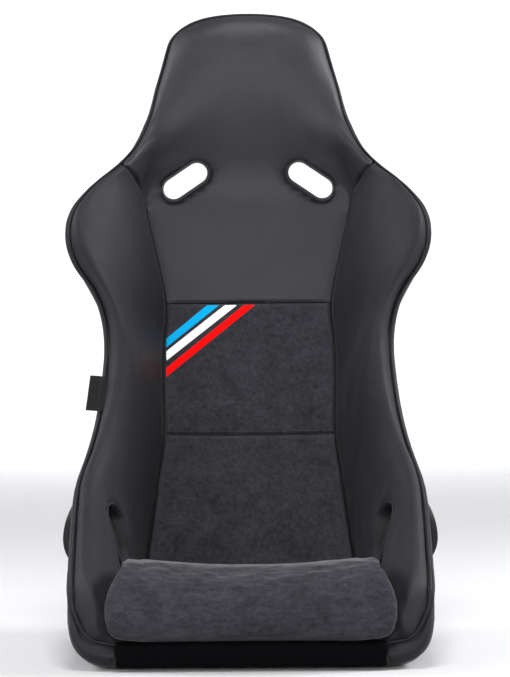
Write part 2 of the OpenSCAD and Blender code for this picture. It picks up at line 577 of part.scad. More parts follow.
// a closed pillow: rings upward, top and bottom fans
function pillow_faces(n, m) = concat(
    [for (i = [0:n - 2], j = [0:m - 1]) let (a = i*m + j,
        b = i*m + (j + 1)%m, c = (i + 1)*m + (j + 1)%m, d = (i + 1)*m + j)
        each [[a, b, c], [a, c, d]]],
    [for (j = [0:m - 1]) [(n - 1)*m + j, (n - 1)*m + (j + 1)%m, n*m]]);
module cushion_foam() {
    R = rings(cover_t + .6); n = len(R);
    top = [0, -104, ctop(-104) - dish - cover_t - .6];
    color("#4a4a44") translate([0, yo, 0]) polyhedron(
        points = concat([for (r = R) each r], [top],
            [[0, -104, cbot(-104) + .8]]),
        faces = concat(pillow_faces(n, CF),
            [for (j = [0:CF - 1]) [j, n*CF + 1, (j + 1)%CF]]));
}
module cushion_cover() {
    A = rings(0); B = rings(cover_t); n = len(A); o = n*CF + 1;
    color(suede) translate([0, yo, 0]) polyhedron(
        points = concat([for (r = A) each r], [[0, -104, ctop(-104) - dish]],
            [for (r = B) each r], [[0, -104, ctop(-104) - dish - cover_t]]),
        faces = concat(pillow_faces(n, CF),
            [for (t = pillow_faces(n, CF)) [t[0] + o, t[2] + o, t[1] + o]],
            [for (j = [0:CF - 1]) each [[j, (j + 1)%CF + o, (j + 1)%CF],
                [j, j + o, (j + 1)%CF + o]]]));
}
module cushion_base() {
    // non-slip cloth under the foam
    color("#202022") translate([0, yo, 10]) linear_extrude(1.6)
        offset(r = 9) polygon([[-136, 76], [136, 76], [150, -40],
            [160, -190], [162, -228], [-162, -228], [-160, -190],
            [-150, -40]]);
}
module strip(s, z) {
    translate([s*95 - 20, yo - 200, z]) cube([40, 240, 1.6]);
}
module hook_strip_left() { color("black") strip(-1, 4.8); }
module hook_strip_right() { color("black") strip(1, 4.8); }
module loop_strip_left() { color("#303032") strip(-1, 8.1); }
module loop_strip_right() { color("#303032") strip(1, 8.1); }

shell();
edge_binding();
piping_left();
piping_right();
head_foam();
head_cover();
back_foam();
back_cover_upper();
back_cover_lower();
stripe_blue();
stripe_white();
stripe_red();
bolster_foam_left();
bolster_foam_right();
bolster_cover_left();
bolster_cover_right();
shoulder_bezel_left();
shoulder_bezel_right();
lap_bezel_left();
lap_bezel_right();
mount_inserts_left();
mount_inserts_right();
front_trim();
side_label();
cushion_foam();
cushion_cover();
cushion_base();
hook_strip_left();
hook_strip_right();
loop_strip_left();
loop_strip_right();
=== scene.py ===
import math

import bmesh
import bpy
import numpy as np
from mathutils import Matrix, Vector


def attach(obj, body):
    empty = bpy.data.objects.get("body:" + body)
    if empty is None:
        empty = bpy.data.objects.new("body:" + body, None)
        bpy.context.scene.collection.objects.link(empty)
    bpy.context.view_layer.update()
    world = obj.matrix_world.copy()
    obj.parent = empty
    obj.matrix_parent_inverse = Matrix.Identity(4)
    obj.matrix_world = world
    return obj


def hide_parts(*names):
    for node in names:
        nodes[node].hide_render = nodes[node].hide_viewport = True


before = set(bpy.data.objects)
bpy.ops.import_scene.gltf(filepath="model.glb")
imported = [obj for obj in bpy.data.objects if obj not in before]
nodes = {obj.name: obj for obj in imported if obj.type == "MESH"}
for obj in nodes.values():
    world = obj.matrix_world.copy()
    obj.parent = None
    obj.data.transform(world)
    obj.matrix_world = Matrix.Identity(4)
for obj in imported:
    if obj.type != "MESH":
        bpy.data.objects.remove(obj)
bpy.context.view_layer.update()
YO = 12.0                      # fore and aft shift of the whole seat, mm

# ======================================================================
# the body's rails, the same stations as the CAD source, in millimetres
# ======================================================================
C0 = [[-276,30],[-268,12],[-250,8],[-200,8],[-125,8],[-40,8],[45,9],[108,34],
    [140,92],[152,163],[164,234],[177,301],[193,375],[206,440],[219,506],
    [231,580],[240,650],[242,715],[228,780],[212,845],[205,905],[211,944],
    [236,959]]
C1 = [[184,-274,34],[181,-266,34],[179,-248,30],[176,-200,24],[174,-125,22],
    [172,-45,22],[170,36,26],[166,96,52],[160,131,104],[150,146,172],
    [141,158,238],[132,171,303],[134,187,381],[132,200,444],[128,212,506],
    [145,226,590],[159,236,668],[134,232,728],[104,216,788],[86,204,846],
    [72,201,900],[64,210,938],[56,238,955]]
C3 = [[222,-277,40],[212,-286,62],[212,-274,104],[218,-212,150],
    [222,-135,200],[222,-62,254],[206,-14,306],[193,10,352],[184,28,398],
    [182,40,445],[186,46,488],[199,50,528],[220,52,568],[240,57,608],
    [242,74,645],[222,108,682],[188,150,712],[163,186,748],[143,206,793],
    [129,214,840],[113,218,884],[102,222,918],[94,240,939]]
C5 = [[240,-268,80],[242,-262,99],[244,-244,120],[245,-200,148],
    [247,-122,193],[246,-50,240],[231,8,290],[220,44,341],[214,68,391],
    [211,82,440],[216,88,486],[232,88,526],[259,86,566],[269,86,605],
    [262,98,645],[234,130,684],[197,166,716],[169,202,752],[150,226,796],
    [140,236,841],[128,240,884],[121,242,910],[115,243,922]]
A0 = [[-284,22],[-272,8],[-252,4.5],[-200,4.5],[-125,4.5],[-40,4.5],
    [60,4.5],[132,14],[172,72],[186,148],[198,224],[208,294],[222,369],
    [235,434],[249,501],[261,576],[269,648],[274,718],[274,789],[270,853],
    [263,905],[257,934],[250,954]]
A1 = [[184,-284,22],[181,-272,8],[179,-252,4.5],[176,-200,4.5],
    [174,-125,4.5],[172,-45,4.5],[170,58,4.5],[166,130,17],[160,166,78],
    [150,180,153],[141,190,228],[132,199,296],[134,214,375],[132,227,439],
    [128,240,501],[145,254,586],[159,262,666],[134,265,730],[104,263,796],
    [86,258,855],[72,253,903],[64,250,931],[56,247,949]]
AX = [[244,.78],[245,.8],[246,.82],[247,.85],[247,.86],[247,.86],[247,.86],
    [246,.78],[236,.62],[224,.46],[221,.24],[231,.1],[254,.05],[267,.08],
    [260,.2],[232,.3],[197,.31],[169,.3],[149,.28],[139,.28],[127,.28],
    [120,.28],[114,.28]]
BB = [[0,0],[4,6],[6,8],[8,9],[8,9],[8,9],[8,9],[8,9],[8,9],[8,9],[8,9],
    [8,9],[8,8],[6,7],[5,6],[3,5],[0,5],[0,5],[3,5],[4,6],[4,6],[3,5],[0,0]]
C0, C1, C3, C5, A0, A1, AX, BB = (np.array(t, float) for t in
                                  (C0, C1, C3, C5, A0, A1, AX, BB))
K = 22
SHELL_T = 4.5


def cr(t, v):
    v = np.clip(np.asarray(v, float), 0, K)
    i = np.minimum(np.floor(v).astype(int), K - 1)
    f = (v - i)[..., None]
    p, q = t[i], t[i + 1]
    o = np.where((i > 0)[..., None], t[np.maximum(i - 1, 0)], 2 * p - q)
    r = np.where((i < K - 1)[..., None], t[np.minimum(i + 2, K)], 2 * q - p)
    m, n = (q - o) / 2, (r - p) / 2
    return ((2 * f**3 - 3 * f**2 + 1) * p + (f**3 - 2 * f**2 + f) * m
            + (3 * f**2 - 2 * f**3) * q + (f**3 - f**2) * n)


def unit(a):
    return a / np.maximum(np.linalg.norm(a, axis=-1, keepdims=True), 1e-9)


def in3(p):
    return np.concatenate([np.zeros(p.shape[:-1] + (1,)), p], -1)


def bez(a, b, c, d, t):
    return (1-t)**3*a + 3*t*(1-t)**2*b + 3*t*t*(1-t)*c + t**3*d


def ease(x):
    k = np.clip(x, 0, 1)
    return k * k * (3 - 2 * k)


def across(g, e):
    u = unit(e)
    return unit(g - u * (u * g).sum(-1, keepdims=True))


def rail(v):
    v = np.asarray(v, float)
    c0, c1, c3, c5 = in3(cr(C0, v)), cr(C1, v), cr(C3, v), cr(C5, v)
    tr = cr(C5, v + .05) - cr(C5, v - .05)
    a5 = c5 + 10 * unit(np.stack([0 * tr[..., 0], tr[..., 2], -tr[..., 1]], -1))
    a0, a1, ax = in3(cr(A0, v)), cr(A1, v), cr(AX, v)
    co = np.stack([ax[..., 0], a1[..., 1], a1[..., 2]], -1)
    hq = ease((v - 17.5) / 1.5)[..., None]
    p1 = a1 + (co - a1) * ax[..., 1:2]
    p2 = a5 + (co - a5) * ax[..., 1:2] * (1 - hq) + (a1 - a5) * .33 * hq
    b = cr(BB, v)
    m2, m4 = (c1 + c3) / 2, (c3 + c5) / 2
    c2 = m2 + b[..., 0:1] * across(m2 - bez(a1, p1, p2, a5, .25), c3 - c1)
    c4 = m4 + b[..., 1:2] * across(m4 - bez(a1, p1, p2, a5, .75), c5 - c3)
    return [c0, c1, c2, c3, c4, c5, a0, a1, p1, p2, a5]


def mirror_w(p, w, v=0):
    """the other half; the covers and the rim stand a little taller at the crown"""
    p = p.copy()
    p[..., 0] = np.where(np.asarray(w) < 0, -p[..., 0], p[..., 0])
    p[..., 2] += 3.3 * ease((np.asarray(v) - 20.3) / 1.7)
    return p


def shell_at(v, w):
    """inside of the shell, in mm; w 0 in the middle, .2 at the seam, 1 at the rim"""
    v, w = np.broadcast_arrays(np.asarray(v, float), np.asarray(w, float))
    r = rail(v)
    a = np.abs(w)[..., None]
    p = a / .2
    lo = np.concatenate([r[7][..., 0:1] * p,
                         r[6][..., 1:] + (r[7][..., 1:] - r[6][..., 1:]) * p * p], -1)
    hi = bez(r[7], r[8], r[9], r[10], (a - .2) / .8)
    return mirror_w(np.where(a < .2, lo, hi), w, v)


def herm(p, q, m, n, t):
    return ((2*t**3 - 3*t**2 + 1)*p + (t**3 - 2*t**2 + t)*m
            + (3*t**2 - 2*t**3)*q + (t**3 - t**2)*n)


def cover_at(v, w):
    """outside of the covers, in mm"""
    v, w = np.broadcast_arrays(np.asarray(v, float), np.asarray(w, float))
    a = np.abs(w)
    r = rail(v)
    k = ease((17 - v) / 1.5)[..., None]
    x = a * 5
    i = np.minimum(np.floor(x).astype(int), 4)
    t = (x - i)[..., None]
    s, c10 = (r[2] - r[0]) / 2, r[1] - r[0]
    mi = s * (1 - k) + k * np.concatenate([c10[..., 0:1], 2 * c10[..., 1:]], -1)
    mo = s * (1 - k) + k * (r[2] - r[1])
    z = np.concatenate([r[1][..., 0:1], 0 * r[1][..., 1:]], -1)
    ti = [mi, (r[3]-r[1])/2, (r[4]-r[2])/2, (r[5]-r[3])/2, r[5]-r[4]]
    to = [z, mo, (r[3]-r[1])/2, (r[4]-r[2])/2, (r[5]-r[3])/2]
    P, TI, TO = np.stack(r[:6], 0), np.stack(ti, 0), np.stack(to, 0)
    idx = np.broadcast_to(i[None, ..., None], (1,) + P.shape[1:])
    g = lambda A, j: np.take_along_axis(A, j, 0)[0]
    return mirror_w(herm(g(P, idx), g(P, idx + 1), g(TO, idx), g(TI, idx), t), w, v)


def normal_of(fn, v, w, e=.02, crease=False):
    v, w = np.broadcast_arrays(np.asarray(v, float), np.asarray(w, float))
    a = np.abs(w)
    va, vb = np.maximum(v - e, 0), np.minimum(v + e, K)
    wa, wb = np.maximum(a - e, 0), np.minimum(a + e, 1)
    if crease:
        wa = np.where((a > .2) & (a < .24), a, wa)
        wb = np.where((a < .2) & (a > .16), a, wb)
    dv = fn(vb, a) - fn(va, a)
    dw = fn(v, wb) - fn(v, wa)
    n = unit(np.cross(dv, dw))
    n[..., 0] = np.where(a == 0, 0, n[..., 0])
    return mirror_w(unit(n), w)


def shell_n(v, w):
    v, w = np.broadcast_arrays(np.asarray(v, float), np.asarray(w, float))
    a = np.abs(w)
    # taken a little way in at the front corner, where rows and columns meet flat
    k = ease(1 - np.hypot(v / 1.3, (1 - a) / .14))
    return normal_of(shell_at, v + .6 * k, np.where(w < 0, -1, 1) * (a - .1 * k))


def cover_n(v, w):
    """normal of the covers, pointing away from the sitter, towards the shell"""
    return normal_of(cover_at, v, w, crease=True)


def out_at(v, w, t=SHELL_T):
    t = np.asarray(t, float)
    p = shell_at(v, w) + (t[..., None] if t.ndim else t) * shell_n(v, w)
    p[..., 2] = np.maximum(p[..., 2], 0)
    return p


def over(v, w, d):
    """d over the shell, towards the covers"""
    v, w = np.broadcast_arrays(np.asarray(v, float), np.asarray(w, float))
    a, s = shell_at(v, w), cover_at(v, w)
    k = ((np.abs(w) > .999) | (v < .1) | (v > K - .001))[..., None]
    return a + d * np.where(k, unit(s - a), -shell_n(v, w)) - np.where(k, 1.5, 0) * shell_n(v, w)


def M(p):
    """mm in the rails' frame to metres in the row frame"""
    return (np.asarray(p, float) + np.array([0, YO, 0])) / 1000.0


# ======================================================================
# mesh helpers
# ======================================================================
def smooth(me, angle=None):
    me.polygons.foreach_set("use_smooth", [True] * len(me.polygons))
    if angle is not None:
        bm = bmesh.new()
        bm.from_mesh(me)
        for e in bm.edges:
            e.smooth = not (len(e.link_faces) == 2
                            and e.calc_face_angle(0) > math.radians(angle))
        bm.to_mesh(me)
        bm.free()
    me.update()


def make(name, verts, faces, mats, body="seat", index=None, angle=40):
    me = bpy.data.meshes.new(name)
    me.from_pydata([tuple(v) for v in verts], [], [tuple(f) for f in faces])
    for m in mats:
        me.materials.append(m)
    if index is not None:
        me.polygons.foreach_set("material_index", np.asarray(index, np.int32))
    me.validate()
    smooth(me, angle)
    o = bpy.data.objects.new(name, me)
    bpy.context.scene.collection.objects.link(o)
    if body:
        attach(o, body)
    return o


def outward(o):
    """faces turned outward on a closed mesh"""
    bm = bmesh.new()
    bm.from_mesh(o.data)
    bmesh.ops.recalc_face_normals(bm, faces=bm.faces)
    bm.to_mesh(o.data)
    bm.free()
    o.data.update()
    return o


def slab(T, B, keep=None):
    """closed solid between two grids of points; returns verts, faces, index
    (1 on the face B, 0 elsewhere)"""
    nv, nw = T.shape[:2]
    on = np.ones((nv - 1, nw - 1), bool) if keep is None else keep
    ids = np.arange(nv * nw).reshape(nv, nw)
    o = nv * nw
    a, b, c, d = ids[:-1, :-1], ids[1:, :-1], ids[1:, 1:], ids[:-1, 1:]
    F = [np.stack([a, b, c, d], -1)[on], np.stack([a, d, c, b], -1)[on] + o]
    index = [np.zeros(on.sum(), int), np.ones(on.sum(), int)]
    pad = np.pad(on, 1)

    def wall(mask, p, q):
        m = mask & on
        F.append(np.stack([p[m], q[m], q[m] + o, p[m] + o], -1))
        index.append(np.zeros(m.sum(), int))
    wall(~pad[1:-1, :-2], b, a)
    wall(~pad[1:-1, 2:], d, c)
    wall(~pad[:-2, 1:-1], a, d)
    wall(~pad[2:, 1:-1], c, b)
    V = np.concatenate([T.reshape(-1, 3), B.reshape(-1, 3)])
    faces = np.concatenate(F)
    index = np.concatenate(index)
    used = np.unique(faces)
    remap = -np.ones(len(V), int)
    remap[used] = np.arange(len(used))
    return V[used], remap[faces], index


def tube(rings, loop=False, caps=True):
    """quads through closed rings of points, (n, m, 3)"""
    n, m = rings.shape[:2]
    ids = np.arange(n * m).reshape(n, m)
    q = n if loop else n - 1
    i = np.arange(q)
    k = (i + 1) % n
    nxt = np.roll(ids, -1, axis=1)
    F = np.stack([ids[i], nxt[i], nxt[k], ids[k]], -1).reshape(-1, 4).tolist()
    if caps and not loop:
        F.append(ids[0][::-1].tolist())
        F.append(ids[-1].tolist())
    return rings.reshape(-1, 3), F


def arclen(P, axis=0):
    d = np.linalg.norm(np.diff(P, axis=axis), axis=-1)
    z = np.zeros_like(np.take(d, [0], axis))
    return np.concatenate([z, np.cumsum(d, axis)], axis)


def hash_noise(seed):
    """smooth repeatable 3-D noise made of sines; x in mm, size in mm"""
    rs = np.random.RandomState(seed)
    K_ = rs.normal(size=(14, 3))
    K_ /= np.linalg.norm(K_, axis=1, keepdims=True)
    K_ *= rs.uniform(.6, 1.7, (14, 1))
    ph = rs.uniform(0, 2 * math.pi, 14)

    def f(P, size, stretch=(1, 1, 1)):
        Q = np.asarray(P) / (np.array(stretch) * size / (2 * math.pi) * 1.0)
        return np.sin(Q @ K_.T + ph).sum(-1) / 7.0
    return f


NOISE = hash_noise(7)
NOISE2 = hash_noise(19)


def resample(P, N, step):
    """points and normals every step along a line"""
    s = arclen(P)
    n = max(int(s[-1] / step), 2)
    t = np.linspace(0, s[-1], n)
    out = np.stack([np.interp(t, s, P[:, j]) for j in range(3)], -1)
    nn = np.stack([np.interp(t, s, N[:, j]) for j in range(3)], -1)
    return out, unit(nn)


STITCHES = []                  # (centre, along, normal) in mm, in the rails' frame


def stitch_line(P, N, pitch=4.6):
    """sewing thread laid along a line; N points out of the leather"""
    if len(P) < 2:
        return
    Q, n = resample(P, N, pitch)
    t = unit(np.gradient(Q, axis=0))
    STITCHES.append((Q, t, n))


def build_stitches(name, groups, mat, body="seat", length=3.3, r=.42):
    Q = np.concatenate([g[0] for g in groups])
    t = np.concatenate([g[1] for g in groups])
    n = np.concatenate([g[2] for g in groups])
    n = unit(n - t * (n * t).sum(-1, keepdims=True))
    b = np.cross(t, n)
    prof = [(-.5, -.55, .35), (-.36, .1, .9), (0, .32, 1), (.36, .1, .9), (.5, -.55, .35)]
    rings = []
    for (x, h, s) in prof:
        c = Q + t * (x * length) + n * (h * r)
        for a in range(6):
            ang = a * math.pi / 3
            rings.append(c + (math.cos(ang) * b + math.sin(ang) * n) * (r * s))
    R = np.stack(rings, 1)                       # (count, 30, 3)
    count = len(Q)
    one = []
    for i in range(4):
        for j in range(6):
            one.append([i*6 + j, i*6 + (j+1) % 6, (i+1)*6 + (j+1) % 6, (i+1)*6 + j])
    one = np.array(one)
    F = (one[None] + 30 * np.arange(count)[:, None, None]).reshape(-1, 4).tolist()
    base = 30 * np.arange(count)
    for s in base:
        F.append([s + j for j in (5, 4, 3, 2, 1, 0)])
        F.append([s + 24 + j for j in range(6)])
    return make(name, M(R.reshape(-1, 3)), F, [mat], body, angle=None)


# ======================================================================
# materials
# ======================================================================
class Mat:
    def __init__(self, name):
        self.m = bpy.data.materials.new(name)
        self.m.use_nodes = True
        self.t = self.m.node_tree
        self.b = self.t.nodes["Principled BSDF"]
        self.co = self.n("ShaderNodeTexCoord").outputs["Object"]

    def n(self, kind, **props):
        x = self.t.nodes.new(kind)
        for k, v in props.items():
            setattr(x, k, v)
        return x

    def link(self, a, b):
        self.t.links.new(a, b)

    def noise(self, scale, detail=3, rough=.55, dist=0.0, co=None):
        x = self.n("ShaderNodeTexNoise")
        x.inputs["Scale"].default_value = scale
        x.inputs["Detail"].default_value = detail
        x.inputs["Roughness"].default_value = rough
        x.inputs["Distortion"].default_value = dist
        self.link(co or self.co, x.inputs["Vector"])
        return x.outputs["Fac"]

    def voronoi(self, scale, feature="DISTANCE_TO_EDGE", co=None, rnd=1.0):
        x = self.n("ShaderNodeTexVoronoi", feature=feature)
        x.inputs["Scale"].default_value = scale
        x.inputs["Randomness"].default_value = rnd
        self.link(co or self.co, x.inputs["Vector"])
        return x.outputs["Distance"]

    def ramp(self, fac, *stops):
        x = self.n("ShaderNodeValToRGB")
        e = x.color_ramp.elements
        while len(e) < len(stops):
            e.new(.5)
        for i, (p, c) in enumerate(stops):
            e[i].position = p
            e[i].color = (*c, 1) if len(c) == 3 else c
        self.link(fac, x.inputs["Fac"])
        return x.outputs["Color"]

    def val(self, fac, lo, hi, a=0.0, b=1.0):
        x = self.n("ShaderNodeMapRange")
        x.inputs["From Min"].default_value = a
        x.inputs["From Max"].default_value = b
        x.inputs["To Min"].default_value = lo
        x.inputs["To Max"].default_value = hi
        self.link(fac, x.inputs["Value"])
        return x.outputs["Result"]

    def math(self, op, a, b=None):
        x = self.n("ShaderNodeMath", operation=op)
        for i, s in enumerate((a, b)):
            if s is None:
                continue
            if isinstance(s, (int, float)):
                x.inputs[i].default_value = s
            else:
                self.link(s, x.inputs[i])
        return x.outputs["Value"]

    def mix(self, fac, a, b, kind="MIX"):
        x = self.n("ShaderNodeMix", data_type="RGBA", blend_type=kind)
        for i, s in ((0, fac), (6, a), (7, b)):
            if isinstance(s, (int, float)):
                x.inputs[i].default_value = s
            elif isinstance(s, tuple):
                x.inputs[i].default_value = (*s, 1)
            else:
                self.link(s, x.inputs[i])
        return x.outputs[2]

    def bump(self, height, strength, distance, normal=None):
        x = self.n("ShaderNodeBump")
        x.inputs["Strength"].default_value = strength
        x.inputs["Distance"].default_value = distance
        self.link(height, x.inputs["Height"])
        if normal is not None:
            self.link(normal, x.inputs["Normal"])
        return x.outputs["Normal"]

    def set(self, **kw):
        for k, v in kw.items():
            s = self.b.inputs[k.replace("_", " ")]
            if hasattr(v, "links") or isinstance(v, bpy.types.NodeSocket):
                self.link(v, s)
            elif isinstance(v, tuple):
                s.default_value = (*v, 1) if len(v) == 3 else v
            else:
                s.default_value = v
        return self


def leather(name, dark, light, rough=(.44, .6), grain=900, bump=.24, sheen=.03, spec=.26):
    m = Mat(name)
    cells = m.voronoi(grain)
    fine = m.noise(grain * 2.3, 2)
    crease = m.ramp(cells, (0.0, (0, 0, 0)), (.055, (.75, .75, .75)), (.16, (1, 1, 1)))
    wide = m.noise(14, 3, .5)
    mid = m.noise(75, 3, .6)
    tone = m.math("ADD", m.math("MULTIPLY", wide, .6), m.math("MULTIPLY", mid, .4))
    col = m.ramp(tone, (.3, dark), (.7, light))
    # the colour is darkened in the grain's creases: painted shade; the same mask also drives the bump
    col = m.mix(.4, col, m.mix(1.0, col, crease, "MULTIPLY"))
    m.set(Base_Color=col, Roughness=m.val(m.math("ADD", m.math("MULTIPLY", mid, .6),
          m.math("MULTIPLY", fine, .4)), rough[0], rough[1], .25, .75))
    m.set(Specular_IOR_Level=spec, Sheen_Weight=sheen, Sheen_Roughness=.45)
    h = m.math("ADD", crease, m.math("MULTIPLY", fine, .35))
    n1 = m.bump(h, bump, .00022)
    n2 = m.bump(m.noise(38, 4, .6), .25, .0012, n1)
    m.set(Normal=n2)
    return m.m


def suede(name, dark, light, sheen=.16, stretch=(1, 1, 1)):
    m = Mat(name)
    mp = m.n("ShaderNodeMapping")
    mp.inputs["Scale"].default_value = stretch
    m.link(m.co, mp.inputs["Vector"])
    co = mp.outputs["Vector"]
    big = m.noise(30, 4, .62, .6, co)
    mid = m.noise(150, 4, .72, .5, co)
    fib = m.noise(1500, 3, .7)
    nap = m.noise(420, 3, .75)
    tone = m.math("ADD", m.math("MULTIPLY", big, .3),
                  m.math("ADD", m.math("MULTIPLY", mid, .46), m.math("MULTIPLY", nap, .24)))
    col = m.ramp(tone, (.38, dark), (.5, tuple((a + b) / 2 for a, b in zip(dark, light))),
                 (.62, light))
    m.set(Base_Color=col, Roughness=m.val(nap, .86, .98))
    m.set(Specular_IOR_Level=.12, Sheen_Weight=sheen, Sheen_Roughness=.38,
          Sheen_Tint=(.8, .82, .86))
    n1 = m.bump(m.math("ADD", fib, m.math("MULTIPLY", nap, 1.2)), .5, .0005)
    n2 = m.bump(mid, .25, .0012, n1)
    m.set(Normal=n2)
    return m.m


def composite(name):
    """satin black gel coat over chopped glass, with a faint orange peel"""
    m = Mat(name)
    peel = m.noise(240, 2, .5)
    wide = m.noise(9, 3)
    strand = m.voronoi(130, "F1")
    col = m.mix(m.val(wide, 0, 1, .3, .7), (.012, .012, .013), (.02, .02, .022))
    col = m.mix(m.val(strand, 0, .25), col, (.03, .03, .032))
    m.set(Base_Color=col, Roughness=m.val(m.noise(60, 3), .3, .46))
    m.set(Specular_IOR_Level=.5, Coat_Weight=.15, Coat_Roughness=.25)
    m.set(Normal=m.bump(peel, .18, .0006, m.bump(wide, .1, .004)))
    return m.m


def moulded(name, dark=(.004, .004, .005), light=(.008, .008, .0095), rough=(.5, .66), spec=.22):
    m = Mat(name)
    tex = m.voronoi(1500, "SMOOTH_F1")
    n = m.noise(120, 3)
    m.set(Base_Color=m.mix(m.val(n, 0, 1, .3, .7), dark, light),
          Roughness=m.val(n, rough[0], rough[1], .3, .7))
    m.set(Specular_IOR_Level=spec, Normal=m.bump(tex, .12, .0002))
    return m.m


def woven(name, dark, light, scale=900, rough=.85, sheen=.2):
    m = Mat(name)
    sep = m.n("ShaderNodeSeparateXYZ")
    m.link(m.co, sep.inputs["Vector"])
    u = m.math("SINE", m.math("MULTIPLY", m.math("ADD", sep.outputs["X"], sep.outputs["Y"]), scale * 3.2))
    w = m.math("SINE", m.math("MULTIPLY", sep.outputs["Z"], scale * 3.2))
    weave = m.math("MULTIPLY", u, w)
    n = m.noise(300, 3)
    m.set(Base_Color=m.mix(m.val(m.math("ADD", m.math("MULTIPLY", weave, .3), n), 0, 1, .2, .9),
          dark, light), Roughness=m.val(n, rough - .08, rough + .08))
    m.set(Specular_IOR_Level=.08, Sheen_Weight=sheen,
          Normal=m.bump(m.math("ADD", weave, n), .45, .0003))
    return m.m


def thread(name, dark, light):
    m = Mat(name)
    w = m.n("ShaderNodeTexWave", bands_direction="DIAGONAL")
    w.inputs["Scale"].default_value = 2600
    m.link(m.co, w.inputs["Vector"])
    m.set(Base_Color=m.mix(w.outputs["Fac"], dark, light), Roughness=m.val(w.outputs["Fac"], .5, .7))
    m.set(Specular_IOR_Level=.4, Sheen_Weight=.2, Normal=m.bump(w.outputs["Fac"], .5, .0002))
    return m.m


def foam(name):
    m = Mat(name)
    c = m.voronoi(700, "F1")
    n = m.noise(60, 3)
    m.set(Base_Color=m.mix(m.val(n, 0, 1, .3, .7), (.028, .028, .026), (.05, .05, .047)),
          Roughness=m.val(c, .8, 1.0))
    m.set(Specular_IOR_Level=.1, Normal=m.bump(c, .8, .0006))
    return m.m


def steel(name):
    m = Mat(name)
    n = m.noise(420, 4, .6, 1.5)
    m.set(Base_Color=m.mix(m.val(n, 0, 1, .3, .7), (.48, .48, .5), (.66, .66, .67)),
          Metallic=1.0, Roughness=m.val(n, .24, .42, .3, .7), Normal=m.bump(n, .15, .0002))
    return m.m


def tape(name, dark, light):
    m = Mat(name)
    c = m.voronoi(1100, "F1")
    n = m.noise(500, 3)
    m.set(Base_Color=m.mix(m.val(c, 0, 1, 0, .6), light, dark), Roughness=m.val(n, .75, .95))
    m.set(Specular_IOR_Level=.25, Sheen_Weight=.3, Normal=m.bump(m.math("ADD", c, n), .9, .0006))
    return m.m


# the bolsters' copy of the charcoal leather, made darker than the head's: painted shade
LEATHER = leather("leather_charcoal", (.0128, .0128, .0162), (.0190, .0190, .0232), rough=(.5, .66), spec=.15)
# the head's copy of the same charcoal leather, made lighter than the bolsters': painted light
LEATHER_HEAD_PAINTED_LIGHT = leather("leather_head_painted_light", (.0172, .0172, .0215), (.025, .025, .0302), rough=(.4, .54), spec=.22)
# the binding's copy of the charcoal leather, made darker so the rim reads dark: painted shade
LEATHER_EDGE_PAINTED_SHADE = leather("leather_edge_painted_shade", (.0085, .0085, .0107), (.0135, .0135, .0165), rough=(.46, .6), spec=.16)
# the welt's copy of the charcoal leather, made darker so it reads as a dark line beside the rim: painted shade
WELT_PAINTED_SHADE = leather("leather_welt_painted_shade", (.0085, .0085, .0105), (.0135, .0135, .0165), grain=1300, bump=.15, spec=.16)
SUEDE = suede("suede_grey", (.0125, .0125, .0158), (.0365, .0362, .0435))
SUEDE_SEAT = suede("suede_cushion", (.0125, .0124, .0155), (.0385, .038, .0458), stretch=(.55, 1, 1))
SHELL = composite("shell_composite")
BEZEL = moulded("bezel_moulded")
TRIM = moulded("front_trim_rubber", (.0009, .0009, .0012), (.002, .002, .0026), (.75, .9), .03)
BLUE = woven("stripe_blue_cloth", (.0, .31, .62), (.001, .39, .76), 1500, .7, 0)
WHITE = woven("stripe_white_cloth", (.88, .88, .88), (.97, .97, .97), 1500, .7, 0)
RED = woven("stripe_red_cloth", (.86, .0, .0), (1, .001, .001), 1500, .7, 0)
LABEL = woven("label_tape", (.004, .004, .0045), (.014, .014, .015), 1400, .7, .1)
THREAD = thread("thread_black", (.008, .008, .009), (.03, .03, .033))
FOAM = foam("foam_block")
STEEL = steel("insert_steel")
BASECLOTH = woven("base_cloth", (.012, .012, .013), (.03, .03, .032), 500, .9, .2)
HOOK = tape("hook_tape", (.006, .006, .006), (.02, .02, .021))
LOOP = tape("loop_tape", (.012, .012, .012), (.034, .034, .036))

# ======================================================================
# slots
# ======================================================================
SLOT_W, SLOT_H, SLOT_X, SLOT_Z, SLOT_TILT = 77.0, 33.0, 99.0, 700.0, 34.0
LAP_H, LAP_D, LAP_Y, LAP_Z = 90.0, 50.0, -34.0, 162.0


def stadium(u, t, a, b):
    """signed distance to a slot a long and b across, and its gradient"""
    l = (a - b) / 2
    du = u - np.clip(u, -l, l)
    r = np.maximum(np.hypot(du, t), 1e-6)
    return r - b / 2, du / r, t / r


def shoulder_uv(p, s):
    """slot coordinates of a point (mm): along the slot, across it"""
    c, n = math.cos(math.radians(SLOT_TILT)), math.sin(math.radians(SLOT_TILT))
    x, z = p[..., 0] - s * SLOT_X, p[..., 2] - SLOT_Z
    # rotated about +Y by s*tilt, so that the inner ends sit higher
    return x * c - z * s * n, x * s * n + z * c


def shoulder_xz(du, dt, s):
    c, n = math.cos(math.radians(SLOT_TILT)), math.sin(math.radians(SLOT_TILT))
    return du * c + dt * s * n, -du * s * n + dt * c


def slot_low(gt):
    """1 along the slot's lower lip, 0 along its upper edge"""
    return ease((.45 - gt) / 1.2)


def cut_shoulder(P, N, s, grow):
    """moves the points just inside the slot onto its edge; returns inside"""
    u, t = shoulder_uv(P, s)
    d, gu, gt = stadium(u, t, SLOT_W, SLOT_H)
    d = d - (1.7 + (grow - 1.7) * slot_low(gt))
    inside = d < 0
    mx, mz = shoulder_xz(-d * gu, -d * gt, s)
    my = -(N[..., 0] * mx + N[..., 2] * mz) / np.where(np.abs(N[..., 1]) < .2, .2, N[..., 1])
    return inside, np.stack([mx, my, mz], -1), d


